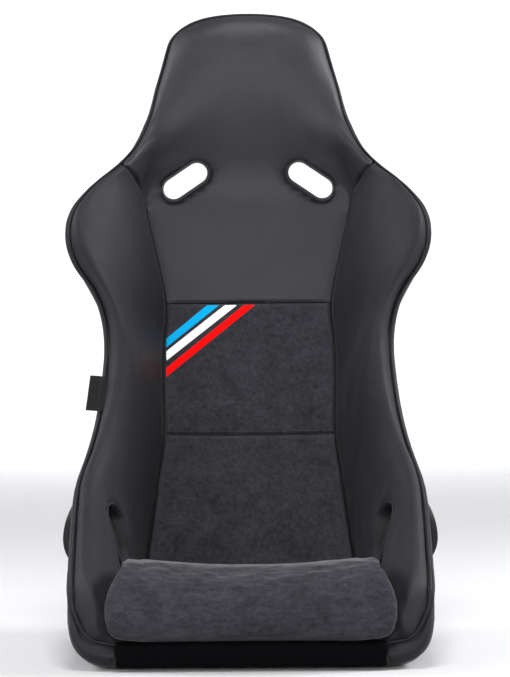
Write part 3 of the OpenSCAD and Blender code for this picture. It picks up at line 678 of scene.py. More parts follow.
def cut_lap(P, N, grow):
    t, u = P[..., 1] - LAP_Y, P[..., 2] - LAP_Z
    d, gu, gt = stadium(u, t, LAP_H, LAP_D)
    d = d - grow
    inside = d < 0
    my, mz = -d * gt, -d * gu
    nx = np.where(np.abs(N[..., 0]) < .25, .25 * np.where(N[..., 0] < 0, -1, 1), N[..., 0])
    mx = -(N[..., 1] * my + N[..., 2] * mz) / nx
    return inside, np.stack([np.clip(mx, -12, 12), my, mz], -1), d


def snap_holes(T, B, NT, NB, tests, axis):
    """tests: list of functions (P, N) -> inside, move, dist. Drops the cells
    that lie inside a hole and pulls their edge onto the outline; the hole's
    wall then runs straight along the axis."""
    nv, nw = T.shape[:2]
    keep = np.ones((nv - 1, nw - 1), bool)
    for f in tests:
        ins, mv, d = f(T, NT)
        C = T.copy()
        C[..., axis] += .75 * (B - T)[..., axis]
        B += (C - B) * ease((36 - d) / 20)[..., None]
        quad = (ins[:-1, :-1] & ins[1:, :-1] & ins[1:, 1:] & ins[:-1, 1:])
        # a cell more than half inside goes too, so that none is left a sliver
        mean = (d[:-1, :-1] + d[1:, :-1] + d[1:, 1:] + d[:-1, 1:]) / 4
        drop = quad | (mean < 0)
        keep &= ~drop
        touch = np.zeros((nv, nw), bool)
        for a, b in ((0, 0), (1, 0), (0, 1), (1, 1)):
            touch[a:nv - 1 + a, b:nw - 1 + b] |= drop
        alive_ = np.zeros((nv, nw), bool)
        for a, b in ((0, 0), (1, 0), (0, 1), (1, 1)):
            alive_[a:nv - 1 + a, b:nw - 1 + b] |= ~drop
        edge = touch & alive_
        T[edge] += mv[edge]
        run = .8 * (B[edge, axis] - T[edge, axis])
        B[edge] = T[edge]
        B[edge, axis] += run
    return keep


# ======================================================================
# cloth: the covers puff out between their seams
# ======================================================================
def puff(P, pin, faces, out_n, pressure, cap, frames=18, stiff=12.0, swell=0.0):
    """P (n, 3) metres; pin in 0..1; returns the points after Blender's cloth,
    never more than cap from where they were"""
    me = bpy.data.meshes.new("sim")
    me.from_pydata([tuple(p) for p in P], [], [tuple(f) for f in faces])
    o = bpy.data.objects.new("sim", me)
    bpy.context.scene.collection.objects.link(o)
    g = o.vertex_groups.new(name="pin")
    lv = np.round(np.clip(pin, 0, 1), 2)
    for x in np.unique(lv):
        if x > 0:
            g.add(np.nonzero(lv == x)[0].tolist(), float(x), "REPLACE")
    mod = o.modifiers.new("cloth", "CLOTH")
    s = mod.settings
    s.quality = 5
    s.mass = .3
    s.use_pressure = True
    s.uniform_pressure_force = pressure
    s.tension_stiffness = s.compression_stiffness = stiff
    s.shear_stiffness = stiff * .6
    s.bending_stiffness = .6
    s.tension_damping = s.compression_damping = 8
    s.shear_damping = 8
    s.bending_damping = .6
    s.air_damping = 3
    s.shrink_min = swell
    s.vertex_group_mass = "pin"
    s.effector_weights.gravity = 0
    mod.collision_settings.use_collision = False
    mod.point_cache.frame_start = 1
    mod.point_cache.frame_end = frames
    sc = bpy.context.scene
    for f in range(1, frames + 1):
        sc.frame_set(f)
    dg = bpy.context.evaluated_depsgraph_get()
    e = o.evaluated_get(dg)
    Q = np.zeros(len(P) * 3)
    e.data.vertices.foreach_get("co", Q)
    Q = Q.reshape(-1, 3)
    bpy.data.objects.remove(o)
    sc.frame_set(1)
    D = Q - P
    if not np.isfinite(D).all():
        return P
    L = np.linalg.norm(D, axis=1, keepdims=True)
    k = cap * np.tanh(L / cap) / np.maximum(L, 1e-9)
    return P + D * k


# ======================================================================
# pads and covers
# ======================================================================
def spaced(a, b, n, dense=.5):
    """n+1 numbers from a to b, closer together at both ends"""
    t = np.linspace(0, 1, n + 1)
    t = (1 - dense) * t + dense * (1 - np.cos(math.pi * t)) / 2
    return a + (b - a) * t


def round_in(d, r, depth):
    """how far a sewn edge dips, d from the seam"""
    x = np.clip(d / r, 0, 1)
    return depth * (1 - np.sqrt(np.clip(1 - (1 - x)**2, 0, 1)))


def soften(T, sigma, axis, reach):
    """rounds a grid of points along one axis; its ends stay where they are"""
    P = np.moveaxis(T, axis, 0)
    r = int(3 * sigma) + 1
    k = np.exp(-.5 * (np.arange(-r, r + 1) / sigma)**2)
    k /= k.sum()
    E = np.concatenate([2 * P[:1] - P[r:0:-1], P, 2 * P[-1:] - P[-2:-r - 2:-1]])
    S = sum(k[i] * E[i:i + len(P)] for i in range(2 * r + 1))
    a = arclen(P, 0)
    m = np.ones_like(a)
    if reach > 1:
        m = ease(a / reach) * ease((a[-1:] - a) / reach)
    return np.moveaxis(P + (S - P) * m[..., None], 0, axis)


def seam_bow(w):
    """how far up the shoulder seam bows between neck and rim"""
    a = np.abs(w)
    return (.2 * ease((a - .2) / .12) * (1 - .6 * ease((a - .42) / .25))
            - .2 * np.exp(-((a - .2) / .05)**2))


def turn_k(v, w):
    """the three covers meet flush where the shoulder seam turns"""
    r = np.hypot((v - 16) * 45, (np.abs(w) - .2) * 220)
    return 1 - .8 * np.exp(-(r / 8)**2)


def grid_n(T, like):
    """normals of a grid of points, on the same side as like"""
    du = np.gradient(T, axis=0)
    dw = np.gradient(T, axis=1)
    n = unit(np.cross(du, dw))
    return n * np.sign((n * like).sum(-1, keepdims=True) + 1e-9)


def pad_piece(name, vs, ws, mats, replaces, dip=None, slots=(), cells=None,
              puffs=None, crease=None, depth=None, warp=None, shape=None):
    """one upholstered pad: the cover's face outside, its sides running down
    to the shell. dip(v, w, P) is how far the sewn edges turn in."""
    vv, ww = np.meshgrid(vs, ws, indexing="ij")
    if warp is not None:
        vv = warp(vv, ww)
    T = cover_at(vv, ww)
    N = cover_n(vv, ww)                       # towards the shell
    if shape is not None:
        T = shape(T, vv, ww)
        N = grid_n(T, N)
    if crease is not None:
        T = T - N * crease(T, vv, ww)[..., None]
    if puffs:
        pin, press, cap = puffs
        ids = np.arange(vv.size).reshape(vv.shape)
        f = np.stack([ids[:-1, :-1], ids[:-1, 1:], ids[1:, 1:], ids[1:, :-1]], -1)
        if cells is not None:
            f = f[cells]
        f = f.reshape(-1, 4)
        pw = pin(vv, ww, T)
        P = puff(M(T).reshape(-1, 3), pw.reshape(-1), f, None, press, cap / 1000)
        D = P.reshape(T.shape) * 1000 - np.array([0, YO, 0]) - T
        T = T + soften(soften(D, 2.4, 0, 1), 2.4, 1, 1)
    if dip is not None:
        T = T + N * dip(vv, ww, T)[..., None]
    A = over(vv, ww, np.where(vv < 1.2, 3.4, 2.6)[..., None])
    # how thick the pad is, along its normal; nothing reads it
    thick = ((A - T) * N).sum(-1)
    if depth is not None:
        g = unit(A - T)
        dist = np.linalg.norm(A - T, axis=-1)
        A = T + g * np.minimum(dist, depth)[..., None]
    keep = np.ones((len(vs) - 1, len(ws) - 1), bool) if cells is None else cells.copy()
    if slots:
        keep &= snap_holes(T, A, N, N, slots, 1 if name == "head_pad" else 0)
    v, f, i = slab(T, A, keep)
    o = make(name, M(v), f, mats, "seat", i, angle=50)
    outward(o)
    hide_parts(*replaces)
    return o, T, N, vv, ww


# --- side bolsters -----------------------------------------------------------
NB_V, NB_W = ((230, 64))


def bolster(s):
    name = "left" if s < 0 else "right"
    vs = np.concatenate([spaced(.06, 1.0, 10, 0), spaced(1.0, 15.985, NB_V, .15)[1:]])
    ws = spaced(.205, 1, NB_W, .45) * s
    if s < 0:
        ws = ws[::-1]

    def warp(v, w):
        return v + seam_bow(w) * ease((v - 14) / 1.9)

    def shape(T, v, w):
        k = 1
        S = soften(T, 3.2 * k, 1, 22)
        R = soften(soften(S, 6.5 * k, 1, 34), 6.5 * k, 1, 34)
        return S + (R - S) * ease((v - 2.4) / 2.6)[..., None]

    def crease(P, v, w):
        a = np.abs(w)
        # the leather is never quite even
        h = .55 * NOISE(P, 62) * np.clip(P[..., 2] / 60, 0, 1)
        # the rear lip of the lap slot stands proud, its front edge is drawn in
        y, z = P[..., 1] - LAP_Y, P[..., 2] - LAP_Z
        inner = ease((.62 - a) / .12) * ease((a - .22) / .05)
        rear = 3.6 * np.exp(-((z - 8) / 36)**2) * ease((y - 8) / 18) \
            * np.exp(-np.clip(y - 32, 0, None) / 30)
        front = 3.6 * np.exp(-((z - 4) / 46)**2) * ease((-6 - y) / 16) \
            * np.exp(-(np.clip(-32 - y, 0, None) / 26)**2)
        # soft folds gather in front of it and above
        pleat = np.exp(-((z - 8) / 52)**2) * np.exp(-((y + 42) / 17)**2)
        over_ = np.exp(-((z - 66) / 24)**2) * np.exp(-((y - 4) / 34)**2)
        h = h + inner * (rear + front + 1.5 * pleat * np.sin((y + .22 * z) / 2.1)
                         + 1.6 * over_ * np.sin((y * .8 + z * .3) / 4.0))
        # and at the front corner, where the cover is pulled round the edge
        fc = np.exp(-((v - 1.1) / .8)**2) * ease((a - .25) / .1) * ease((.75 - a) / .2)
        h = h + fc * 1.3 * np.sin(P[..., 0] / 5.2 + P[..., 2] / 11)
        return h

    def dip(v, w, P):
        du = arclen(P, 1)
        seam = du if s > 0 else du[:, -1:] - du
        rim = du[:, -1:] - du if s > 0 else du
        end = arclen(P, 0)
        end = end[-1:] - end
        start = arclen(P, 0)
        d = round_in(seam, 5, 3.4) * ease((v - 6) / 1.2)
        d = np.maximum(d, round_in(rim, 5, 2.6))
        d = np.maximum(d, round_in(end, 5, 3.2))
        _, _, gap = cut_lap(P, cover_n(v, w), 6.3)
        gap = np.where(np.abs(P[..., 0]) < 236, gap, 99)
        d = np.maximum(d, round_in(gap, 6, 3.4))
        return np.maximum(d, round_in(start, 5, 2.2)) * turn_k(v, w)

    def pin(v, w, P):
        du = arclen(P, 1)
        edge = np.minimum(du, du[:, -1:] - du)
        dv = arclen(P, 0)
        edge = np.minimum(edge, np.minimum(dv, dv[-1:] - dv))
        ins, mv, d = cut_lap(P, cover_n(v, w), 6.5)
        near = np.where(np.abs(w) < .62, np.clip(1 - (d - 4) / 8, 0, 1), 0)
        return np.clip(np.maximum(1 - (edge - 2) / 12, near), 0, 1)

    def hole(P, N):
        ins, mv, d = cut_lap(P, N, 6.3)
        big = np.where(np.abs(P[..., 0]) < 236, d, 50.0)
        return ins, mv, big

    return pad_piece("bolster_" + name, vs, ws, [LEATHER, FOAM],
                     ["bolster_foam_" + name, "bolster_cover_" + name], dip,
                     [hole], None, (pin, 1.6, 2.6), crease, warp=warp, shape=shape)


# --- head and shoulders ----------------------------------------------------------
def head():
    vs = np.concatenate([spaced(14.012, 15.93, 34, 0),
                         spaced(16.012, 21.96, 150, .25)])
    half = np.concatenate([spaced(0, .1985, 13, 0), spaced(.2005, 1, 62, .4)])
    ws = np.concatenate([-half[::-1], half[1:]])
    cells = np.ones((len(vs) - 1, len(ws) - 1), bool)
    vc = (vs[:-1] + vs[1:]) / 2
    wc = np.abs((ws[:-1] + ws[1:]) / 2)
    cells[(vc[:, None] < 16.011) & (wc[None] > .1965)] = False

    def warp(v, w):
        return v + seam_bow(w) * np.where(v > 16, ease((19 - v) / 3), ease((v - 14.02) / 1.9))

    def shape(T, v, w):
        # no crease carries on up the head from the neck seams
        i0 = int(np.searchsorted(vs, 16.005))
        a = np.abs(w)
        S = soften(T, 4.5, 1, 18)
        for _ in range(2):
            S = soften(S, 4.5, 1, 18)
        m = ease((v - 16.0) / 1.0) * (v > 16)
        T = T + (S - T) * m[..., None]
        k = 1
        S = soften(soften(T, 13 * k, 1, 30), 13 * k, 1, 30)
        T = T + (S - T) * ease((v - 17.0) / 1.4)[..., None]
        S = soften(T, 6 * k, 0, 30)
        T = T + (S - T) * ease((v - 16.4) / 1.0)[..., None]
        top = arclen(T, 0)
        top = top[-1:] - top
        T[..., 2] += 2.4 * ease(1 - top / 28) * (1 - ease((a - .82) / .18))
        # nor does the row of the shoulder seams run on across the neck
        S = soften(soften(T, 6, 0, 30), 6, 0, 30)
        return T + (S - T) * ease((.2 - a) / .06)[..., None]

    def crease(P, v, w):
        h = .5 * NOISE(P, 70)
        for s in (-1, 1):
            u, t = shoulder_uv(P, s)
            d, _, _ = stadium(u, t, SLOT_W, SLOT_H)
            # the cover is drawn in round each slot
            h = h - 3.5 * np.exp(-np.clip(d - 6, 0, None) / 13)
        return h

    def dip(v, w, P):
        a = np.abs(w)
        dv = arclen(P, 0)
        du = arclen(P, 1)
        mid = du[:, len(ws) // 2][:, None]
        out = np.abs(du - mid)
        i0 = np.searchsorted(vs, 16.005)
        rim = np.where(v > 16, np.minimum(du, du[:, -1:] - du), 99)
        iw = np.searchsorted(ws, .1955)
        neck = np.where(v < 16.005, np.abs(out[:, iw][:, None] - out), 99)
        bottom = dv
        shoulder = np.where(a > .1995, dv - dv[i0][None], 99)
        top = dv[-1:] - dv
        d = round_in(rim, 5, 2.6)
        d = np.maximum(d, np.where(a < .1995, round_in(neck, 5, 3.4), 0))
        d = np.maximum(d, round_in(bottom, 6, 3.6))
        d = np.maximum(d, round_in(np.clip(shoulder, 0, None), 5, 3.2))
        turn = np.hypot(np.clip(dv - dv[i0][None], 0, None), out[:, iw][:, None] - out)
        d = np.maximum(d, np.where((v > 15.7) & (a <= .1995), round_in(turn, 5, 3.3), 0))
        d = d * turn_k(v, w)
        for s in (-1, 1):
            _, _, gap = cut_shoulder(P, cover_n(v, w), s, 6.4)
            d = np.maximum(d, round_in(gap, 6, 3.2))
        return np.maximum(d, round_in(top, 5, 2.6))

    def pin(v, w, P):
        a = np.abs(w)
        du = arclen(P, 1)
        dv = arclen(P, 0)
        i0 = np.searchsorted(vs, 16.005)
        e = np.minimum(dv, dv[-1:] - dv)
        e = np.where(v > 16, np.minimum(e, np.minimum(du, du[:, -1:] - du)), e)
        e = np.where(a > .1995, np.minimum(e, np.clip(dv - dv[i0][None], 0, None)), e)
        e = np.where((v < 16.005) & (a > .15), 0, e)
        e = np.minimum(e, np.hypot((v - 16) * 45, (a - .2) * 220))
        p = 1 - (e - 2) / 16
        for s in (-1, 1):
            u, t = shoulder_uv(P, s)
            d, _, _ = stadium(u, t, SLOT_W, SLOT_H)
            p = np.maximum(p, 1 - (d - 16) / 20)
        return np.clip(p, 0, 1)

    tests = [lambda P, N, s=s: cut_shoulder(P, N, s, 6.4) for s in (-1, 1)]
    return pad_piece("head_pad", vs, ws, [LEATHER_HEAD_PAINTED_LIGHT, FOAM], ["head_foam", "head_cover"],
                     dip, tests, cells, (pin, 1.4, 3.2), crease, warp=warp, shape=shape)


# --- back panels -------------------------------------------------------------------
def back(name, v0, v1, nodes_, n):
    vs = spaced(v0, v1, n, .3)
    ws = spaced(-.1965, .1965, 70, .3)

    def crease(P, v, w):
        return .7 * NOISE2(P, 48) + .25 * NOISE(P, 17)

    def dip(v, w, P):
        du, dv = arclen(P, 1), arclen(P, 0)
        e = np.minimum(du, du[:, -1:] - du)
        f = np.minimum(dv, dv[-1:] - dv)
        return np.maximum(round_in(e, 6, 3.8), round_in(f, 6, 3.4))

    def pin(v, w, P):
        du, dv = arclen(P, 1), arclen(P, 0)
        e = np.minimum(np.minimum(du, du[:, -1:] - du), np.minimum(dv, dv[-1:] - dv))
        return np.clip(1 - (e - 1.5) / 9, 0, 1)

    return pad_piece(name, vs, ws, [SUEDE, FOAM], nodes_, dip, (), None,
                     (pin, 2.4, 5.0), crease)


BR = bolster(1)
BL = bolster(-1)
HP = head()
UP = back("back_panel_upper", 11.015, 13.985, ["back_cover_upper"], 60)
LP = back("back_panel_lower", 7.45, 10.985, ["back_cover_lower", "back_foam"], 66)


# --- stitching along the seams -----------------------------------------------------
def seam_rows(piece, d, from_v=None, side=None, end=None, inset=3.4):
    """a stitch line at a fixed distance from an edge of a pad's grid"""
    o, T, N, vv, ww = piece
    if side is not None:
        du = arclen(T, 1)
        if side > 0:
            du = du[:, -1:] - du
        P = []
        Q = []
        for i in range(T.shape[0]):
            if from_v is not None and not (from_v[0] <= vv[i, 0] <= from_v[1]):
                continue
            row, x = (T[i], du[i]) if side < 0 else (T[i, ::-1], du[i, ::-1])
            nrow = N[i] if side < 0 else N[i, ::-1]
            P.append([np.interp(inset, x, row[:, j]) for j in range(3)])
            Q.append([np.interp(inset, x, nrow[:, j]) for j in range(3)])
    else:
        dv = arclen(T, 0)
        if end > 0:
            dv = dv[-1:] - dv
        P = []
        Q = []
        for j in range(T.shape[1]):
            if from_v is not None and not (from_v[0] <= abs(ww[0, j]) <= from_v[1]):
                continue
            col, x = (T[:, j], dv[:, j]) if end < 0 else (T[::-1, j], dv[::-1, j])
            ncol = N[:, j] if end < 0 else N[::-1, j]
            P.append([np.interp(inset, x, col[:, k]) for k in range(3)])
            Q.append([np.interp(inset, x, ncol[:, k]) for k in range(3)])
    if len(P) > 2:
        stitch_line(np.array(P), -unit(np.array(Q)))


for piece in (UP, LP):
    for sd in (-1, 1):
        seam_rows(piece, 0, side=sd, inset=5.0)
        seam_rows(piece, 0, end=sd, inset=5.4)
seam_rows(HP, 0, end=-1, from_v=(0, .19), inset=6.0)
seam_rows(BR, 0, side=-1, from_v=(7.6, 15.9), inset=5.2)
seam_rows(BL, 0, side=1, from_v=(7.6, 15.9), inset=5.2)
for pc in (BR, BL):
    seam_rows(pc, 0, end=1, inset=5.0)
seam_rows(BR, 0, side=1, inset=5.4)
seam_rows(BL, 0, side=-1, inset=5.4)
seam_rows(HP, 0, side=1, from_v=(16.05, 21.9), inset=5.4)
seam_rows(HP, 0, side=-1, from_v=(16.05, 21.9), inset=5.4)
seam_rows(HP, 0, end=1, inset=5.4)
build_stitches("seam_stitching", STITCHES, THREAD)

# ======================================================================
# rim: edge binding and welts
# ======================================================================
nf = 2
RV = np.concatenate([np.zeros(20 * nf), np.linspace(0, K, 260 * nf),
                     np.full(22 * nf, float(K))])
RW = np.concatenate([np.linspace(.2, 1, 20 * nf, endpoint=False), np.ones(260 * nf),
                     np.linspace(1, 0, 22 * nf + 1)[1:]])
RM = len(RV) - 1


def gsmooth(x, s):
    r = int(3 * s) + 1
    k = np.exp(-.5 * (np.arange(-r, r + 1) / s)**2)
    k /= k.sum()
    return np.convolve(np.pad(x, r, mode="edge"), k, "valid")


def wall_params():
    v, w = RV, RW
    front = (v == 0) & (w < 1)
    top = (v >= K - 1e-9) & (w < 1)
    wv = np.where(front, .7 + 1.1 * np.clip(2 * w - 1, 0, None)**1.3,
                  np.where(top, K - .5,
                           np.minimum(v, K - .7) + 1.8 * np.clip(1 - v / 2.3, 0, None)**1.2))
    wwl = np.where(front, w - .125 * np.clip(w / .34 - 1.94, 0, None),
                   np.where(top, np.minimum(w, .95),
                            .96 - .085 * np.clip(1 - v / 2.3, 0, None) - .06 * ease((v - 17) / 2)))
    s = 3.0 * nf
    return gsmooth(wv, s), gsmooth(wwl, s)


WV, WWL = wall_params()
rim_a, rim_s = shell_at(RV, RW), cover_at(RV, RW)
inn = shell_at(WV, WWL)
t_ = np.diff(rim_a, axis=0)
t_ = unit(t_)
rim_t = unit(np.concatenate([t_[:1], t_[1:] + t_[:-1], t_[-1:]]))
rim_t[-1] = [-1, 0, 0]
for _ in range(3 * nf):
    rim_t[1:-1] = unit(rim_t[:-2] + 2 * rim_t[1:-1] + rim_t[2:])
rim_f = unit(rim_s - rim_a)
rim_o = unit(np.cross(rim_t, rim_f))
rim_o[-1, 0] = 0
rim_o = unit(rim_o)
rim_e = unit(rim_a - inn)
for _ in range(4 * nf):
    rim_e[1:-1] = unit(rim_e[:-2] + 2 * rim_e[1:-1] + rim_e[2:])
rim_k = np.clip((rim_f * rim_e).sum(-1), 0, 1)
rim_l = np.clip(1 - RV, 0, None)


def wall_p(g):
    k = np.where(RV == 0, ease(2.4 * RW - 1.2), np.clip(1 - RV / 3, 0, None))
    c = g + 2.2 * k + np.where(RV == 0, .6, 0)
    p = out_at(RV, RW, SHELL_T + c)
    q = out_at(WV, WWL, SHELL_T + c)
    d = np.linalg.norm(q - p, axis=-1)
    return p + (q - p) * np.minimum(1, (13 - 6 * k) / d)[:, None]


def col(x):
    return np.asarray(x, float)[..., None] if np.ndim(x) else x


def rim_p(f, o):
    return rim_a + col(f) * rim_f + col(o) * rim_o


REACH = 5.0 - 1.7 * ease((RV - (K - 1.3)) / 1.3)
oi = SHELL_T * rim_k + .6
gg = np.linalg.norm(rim_s - rim_a, axis=-1) - 1.5 - 3.4 * rim_l
out_r = out_at(RV, RW, SHELL_T + 3.8) + ((REACH - .6) * (1 - rim_k))[:, None] * rim_e
H = np.stack([
    rim_p(gg, oi + .9), rim_p(gg - .3, oi + 2.6), rim_p(gg * .66, oi + REACH - .6),
    rim_p(gg * .3, oi + REACH), (rim_p(1, oi + REACH) + out_r) / 2, out_r,
    (out_r + wall_p(3.2)) / 2, wall_p(3.2), wall_p(2.2), wall_p(1.0),
    out_at(RV, RW, SHELL_T + 1.0) + 1.1 * rim_e,
    rim_p(0, 1) + 1.1 * rim_e, rim_p(gg * .5, .9), rim_p(gg, .8)], 1)
H = soften(H, 2.2 * nf, 0, 12)
lump = .35 * NOISE(H, 30)[..., None] + .18 * NOISE2(H, 11)[..., None]
mid_ = H.mean(1, keepdims=True)
skin_ = np.zeros(14); skin_[1:9] = 1
H = H + unit(H - mid_) * lump * skin_[None, :, None]
# a point must stay on or above the floor, and the two halves meet in the middle
H[..., 2] = np.maximum(H[..., 2], .3)
H[-1, :, 0] = 0
HL = H[-2::-1].copy(); HL[..., 0] *= -1
H = np.concatenate([H, HL])
top_ = np.exp(-((np.arange(len(H)) - RM) / (9.0 * nf))**2)
H = H + (soften(H, 5 * nf, 0, 1) - H) * top_[:, None, None]
v, f = tube(H)
binding = make("edge_binding_leather", M(v), f, [LEATHER_EDGE_PAINTED_SHADE], "seat", angle=None)
outward(binding)
sub = binding.modifiers.new("round", "SUBSURF")
sub.levels = sub.render_levels = 1
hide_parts("edge_binding")


def welt(s):
    tk = ease((RV - (K - 1.3)) / 1.3)
    c = rim_s + (2.6 - 1.9 * tk)[:, None] * rim_o + (1.8 - 3.2 * rim_l)[:, None] * rim_f
    c = soften(soften(c, 2.6 * nf, 0, 12), 2.6 * nf, 0, 12)
    L = np.concatenate([c, c[-2::-1] * np.array([-1, 1, 1])])
    c = (L + (soften(L, 5 * nf, 0, 1) - L) * top_[:, None])[:len(c)]
    c = c + rim_o * (.12 * NOISE(c, 22))[:, None]
    n = 10
    rings = []
    for a in range(n):
        g = 2 * math.pi * a / n
        rings.append(c + 2.3 * (math.cos(g) * rim_f + math.sin(g) * rim_o))
    R = np.stack(rings, 1)
    R[..., 0] = np.maximum(R[..., 0], .02)
    R[..., 2] = np.maximum(R[..., 2], .3)
    if s < 0:
        R[..., 0] *= -1
    v, f = tube(R)
    o = make("welt_" + ("left" if s < 0 else "right"), M(v), f, [WELT_PAINTED_SHADE], "seat", angle=None)
    outward(o)
    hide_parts("piping_" + ("left" if s < 0 else "right"))
    return o


welt(1)
welt(-1)
# a line beside the welt, on the binding; nothing is built along it
g0 = rim_s + 6.2 * rim_o + (3.2 - 3.2 * rim_l)[:, None] * rim_f


# ======================================================================
# shell
# ======================================================================
def shell_piece():
    vs = spaced(0, K, 200, 0)
    half = np.concatenate([spaced(0, .2, 12, 0), spaced(.2, 1, 80, 0)[1:]])
    ws = np.concatenate([-half[::-1], half[1:]])
    vv, ww = np.meshgrid(vs, ws, indexing="ij")
    I = shell_at(vv, ww)
    O = out_at(vv, ww)
    # flat side pads that carry the inserts, faired into the wall
    y, z = O[..., 1], O[..., 2]
    f = ease((y + 250) / 26) * ease((128 - y) / 34) * ease((z - 24) / 36) * ease((134 - z) / 40)
    sx = np.where(ww < 0, -1, 1)
    tgt = 254.0
    gap = np.clip(tgt - np.abs(O[..., 0]), 0, None)
    grow = gap * np.where(np.abs(ww) > .3, f, 0) * ease((34 - gap) / 20)
    O[..., 0] += sx * grow
    S = soften(soften(O, 1.5, 0, 1), 1.5, 1, 1)
    edge = (1 - (2 * f - 1)**6) * np.where(np.abs(ww) > .3, ease(f * 20), 0)
    O = O + (S - O) * edge[..., None]
    v, fc, i = slab(I, O)
    o = make("shell_body", M(v), fc, [SHELL], None, angle=None)
    outward(o)

    def cutter(rings):
        v, f = tube(rings)
        c = make("cut", M(v), f, [], None, angle=None)
        outward(c)
        return c
    cuts = []
    ang = np.linspace(0, 2 * math.pi, 56, endpoint=False) + .01
    for s in (-1, 1):
        g = 4.5
        l = (SLOT_W - SLOT_H) / 2
        u = np.where(np.cos(ang) > 0, l, -l) + (SLOT_H / 2 + g) * np.cos(ang)
        t = (SLOT_H / 2 + g) * np.sin(ang)
        x, z_ = shoulder_xz(u, t, s)
        cuts.append(cutter(np.stack([np.stack([s * SLOT_X + x, np.full_like(x, yy), SLOT_Z + z_], -1)
                                     for yy in (225, 310)])))
        l = (LAP_H - LAP_D) / 2
        u = np.where(np.cos(ang) > 0, l, -l) + (LAP_D / 2 + g) * np.cos(ang)
        t = (LAP_D / 2 + g) * np.sin(ang)
        cuts.append(cutter(np.stack([np.stack([np.full_like(u, s * xx), LAP_Y + t, LAP_Z + u], -1)
                                     for xx in (205, 275)])))
        for yy in (-215, 75):
            cuts.append(cutter(np.stack([np.stack([np.full_like(ang, s * xx),
                        yy + 8.3 * np.cos(ang), 78 + 8.3 * np.sin(ang)], -1)
                        for xx in (244.7, 262)])))
    for c in cuts:
        m = o.modifiers.new("cut", "BOOLEAN")
        m.operation = "DIFFERENCE"
        m.solver = "EXACT"
        m.object = c
    dg = bpy.context.evaluated_depsgraph_get()
    me = bpy.data.meshes.new_from_object(o.evaluated_get(dg))
    o.modifiers.clear()
    o.data = me
    for c in cuts:
        bpy.data.objects.remove(c)
    me.materials.clear()
    me.materials.append(SHELL)
    smooth(me, 35)
    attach(o, "seat")
    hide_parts("shell")
    return o


shell_obj = shell_piece()


# ======================================================================
# slot surrounds
# ======================================================================
def ring_outline(n, a, b, g):
    """points round a slot of size a x b grown by g, evenly spaced"""
    l, r = (a - b) / 2, b / 2 + g
    per = 4 * l + 2 * math.pi * r
    out = []
    for i in range(n):
        s = per * i / n
        if s < math.pi * r / 2:
            th = s / r
            out.append((l + r * math.cos(th), r * math.sin(th)))
        elif s < math.pi * r / 2 + 2 * l:
            out.append((l - (s - math.pi * r / 2), r))
        elif s < math.pi * r * 1.5 + 2 * l:
            th = math.pi / 2 + (s - math.pi * r / 2 - 2 * l) / r
            out.append((-l + r * math.cos(th), r * math.sin(th)))
        elif s < math.pi * r * 1.5 + 4 * l:
            out.append((-l + (s - math.pi * r * 1.5 - 2 * l), -r))
        else:
            th = 1.5 * math.pi + (s - math.pi * r * 1.5 - 4 * l) / r
            out.append((l + r * math.cos(th), r * math.sin(th)))
    return np.array(out)


def shoulder_bezel(s):
    prof = [(0, 35), (0, 20), (0, 8), (.8, 4.6), (3.2, -.5), (5.2, -5.2), (6.2, -6.8),
            (7.2, -6.6), (7.6, -5.2), (7.6, 1), (4, 4), (4, 35)]
    n = 84
    rings = []
    for i in range(n):
        rings.append([])
    e = ring_outline(n, SLOT_W, SLOT_H, 0)
    _, gu, gt = stadium(e[:, 0] * 1.02, e[:, 1] * 1.02, SLOT_W, SLOT_H)
    low = slot_low(gt)
    for g, dep in prof:
        k = g * (.28 + .67 * low) if dep < 4 else np.full(n, float(g))
        o = e + np.stack([gu, gt], -1) * k[:, None]
        x, z = shoulder_xz(o[:, 0], o[:, 1], s)
        for i in range(n):
            rings[i].append((s * SLOT_X + x[i], 243 + dep, SLOT_Z + z[i]))
    v, f = tube(np.array(rings), loop=True)
    m = len(prof)
    idx = [1 if 3 <= q % m <= 8 and low[q // m] > .45 else 0 for q in range(n * m)]
    name = "left" if s < 0 else "right"
    o = make("shoulder_slot_" + name, M(v), f, [BEZEL, LEATHER_EDGE_PAINTED_SHADE], "seat", idx, angle=38)
    outward(o)
    b = o.modifiers.new("round", "SUBSURF")
    b.levels = b.render_levels = 1
    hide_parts("shoulder_bezel_" + name)
    return o


shoulder_bezel(1)
shoulder_bezel(-1)


BP = BR[1][:, BR[4][0] < .62].reshape(-1, 3)


def wall_at(y, z):
    """|x| of the bolster's inner wall"""
    d = (BP[:, 1] - y)**2 + (BP[:, 2] - z)**2
    i = np.argpartition(d, 6)[:6]
    w = 1 / (d[i] + .5)
    return float((BP[i, 0] * w).sum() / w.sum())


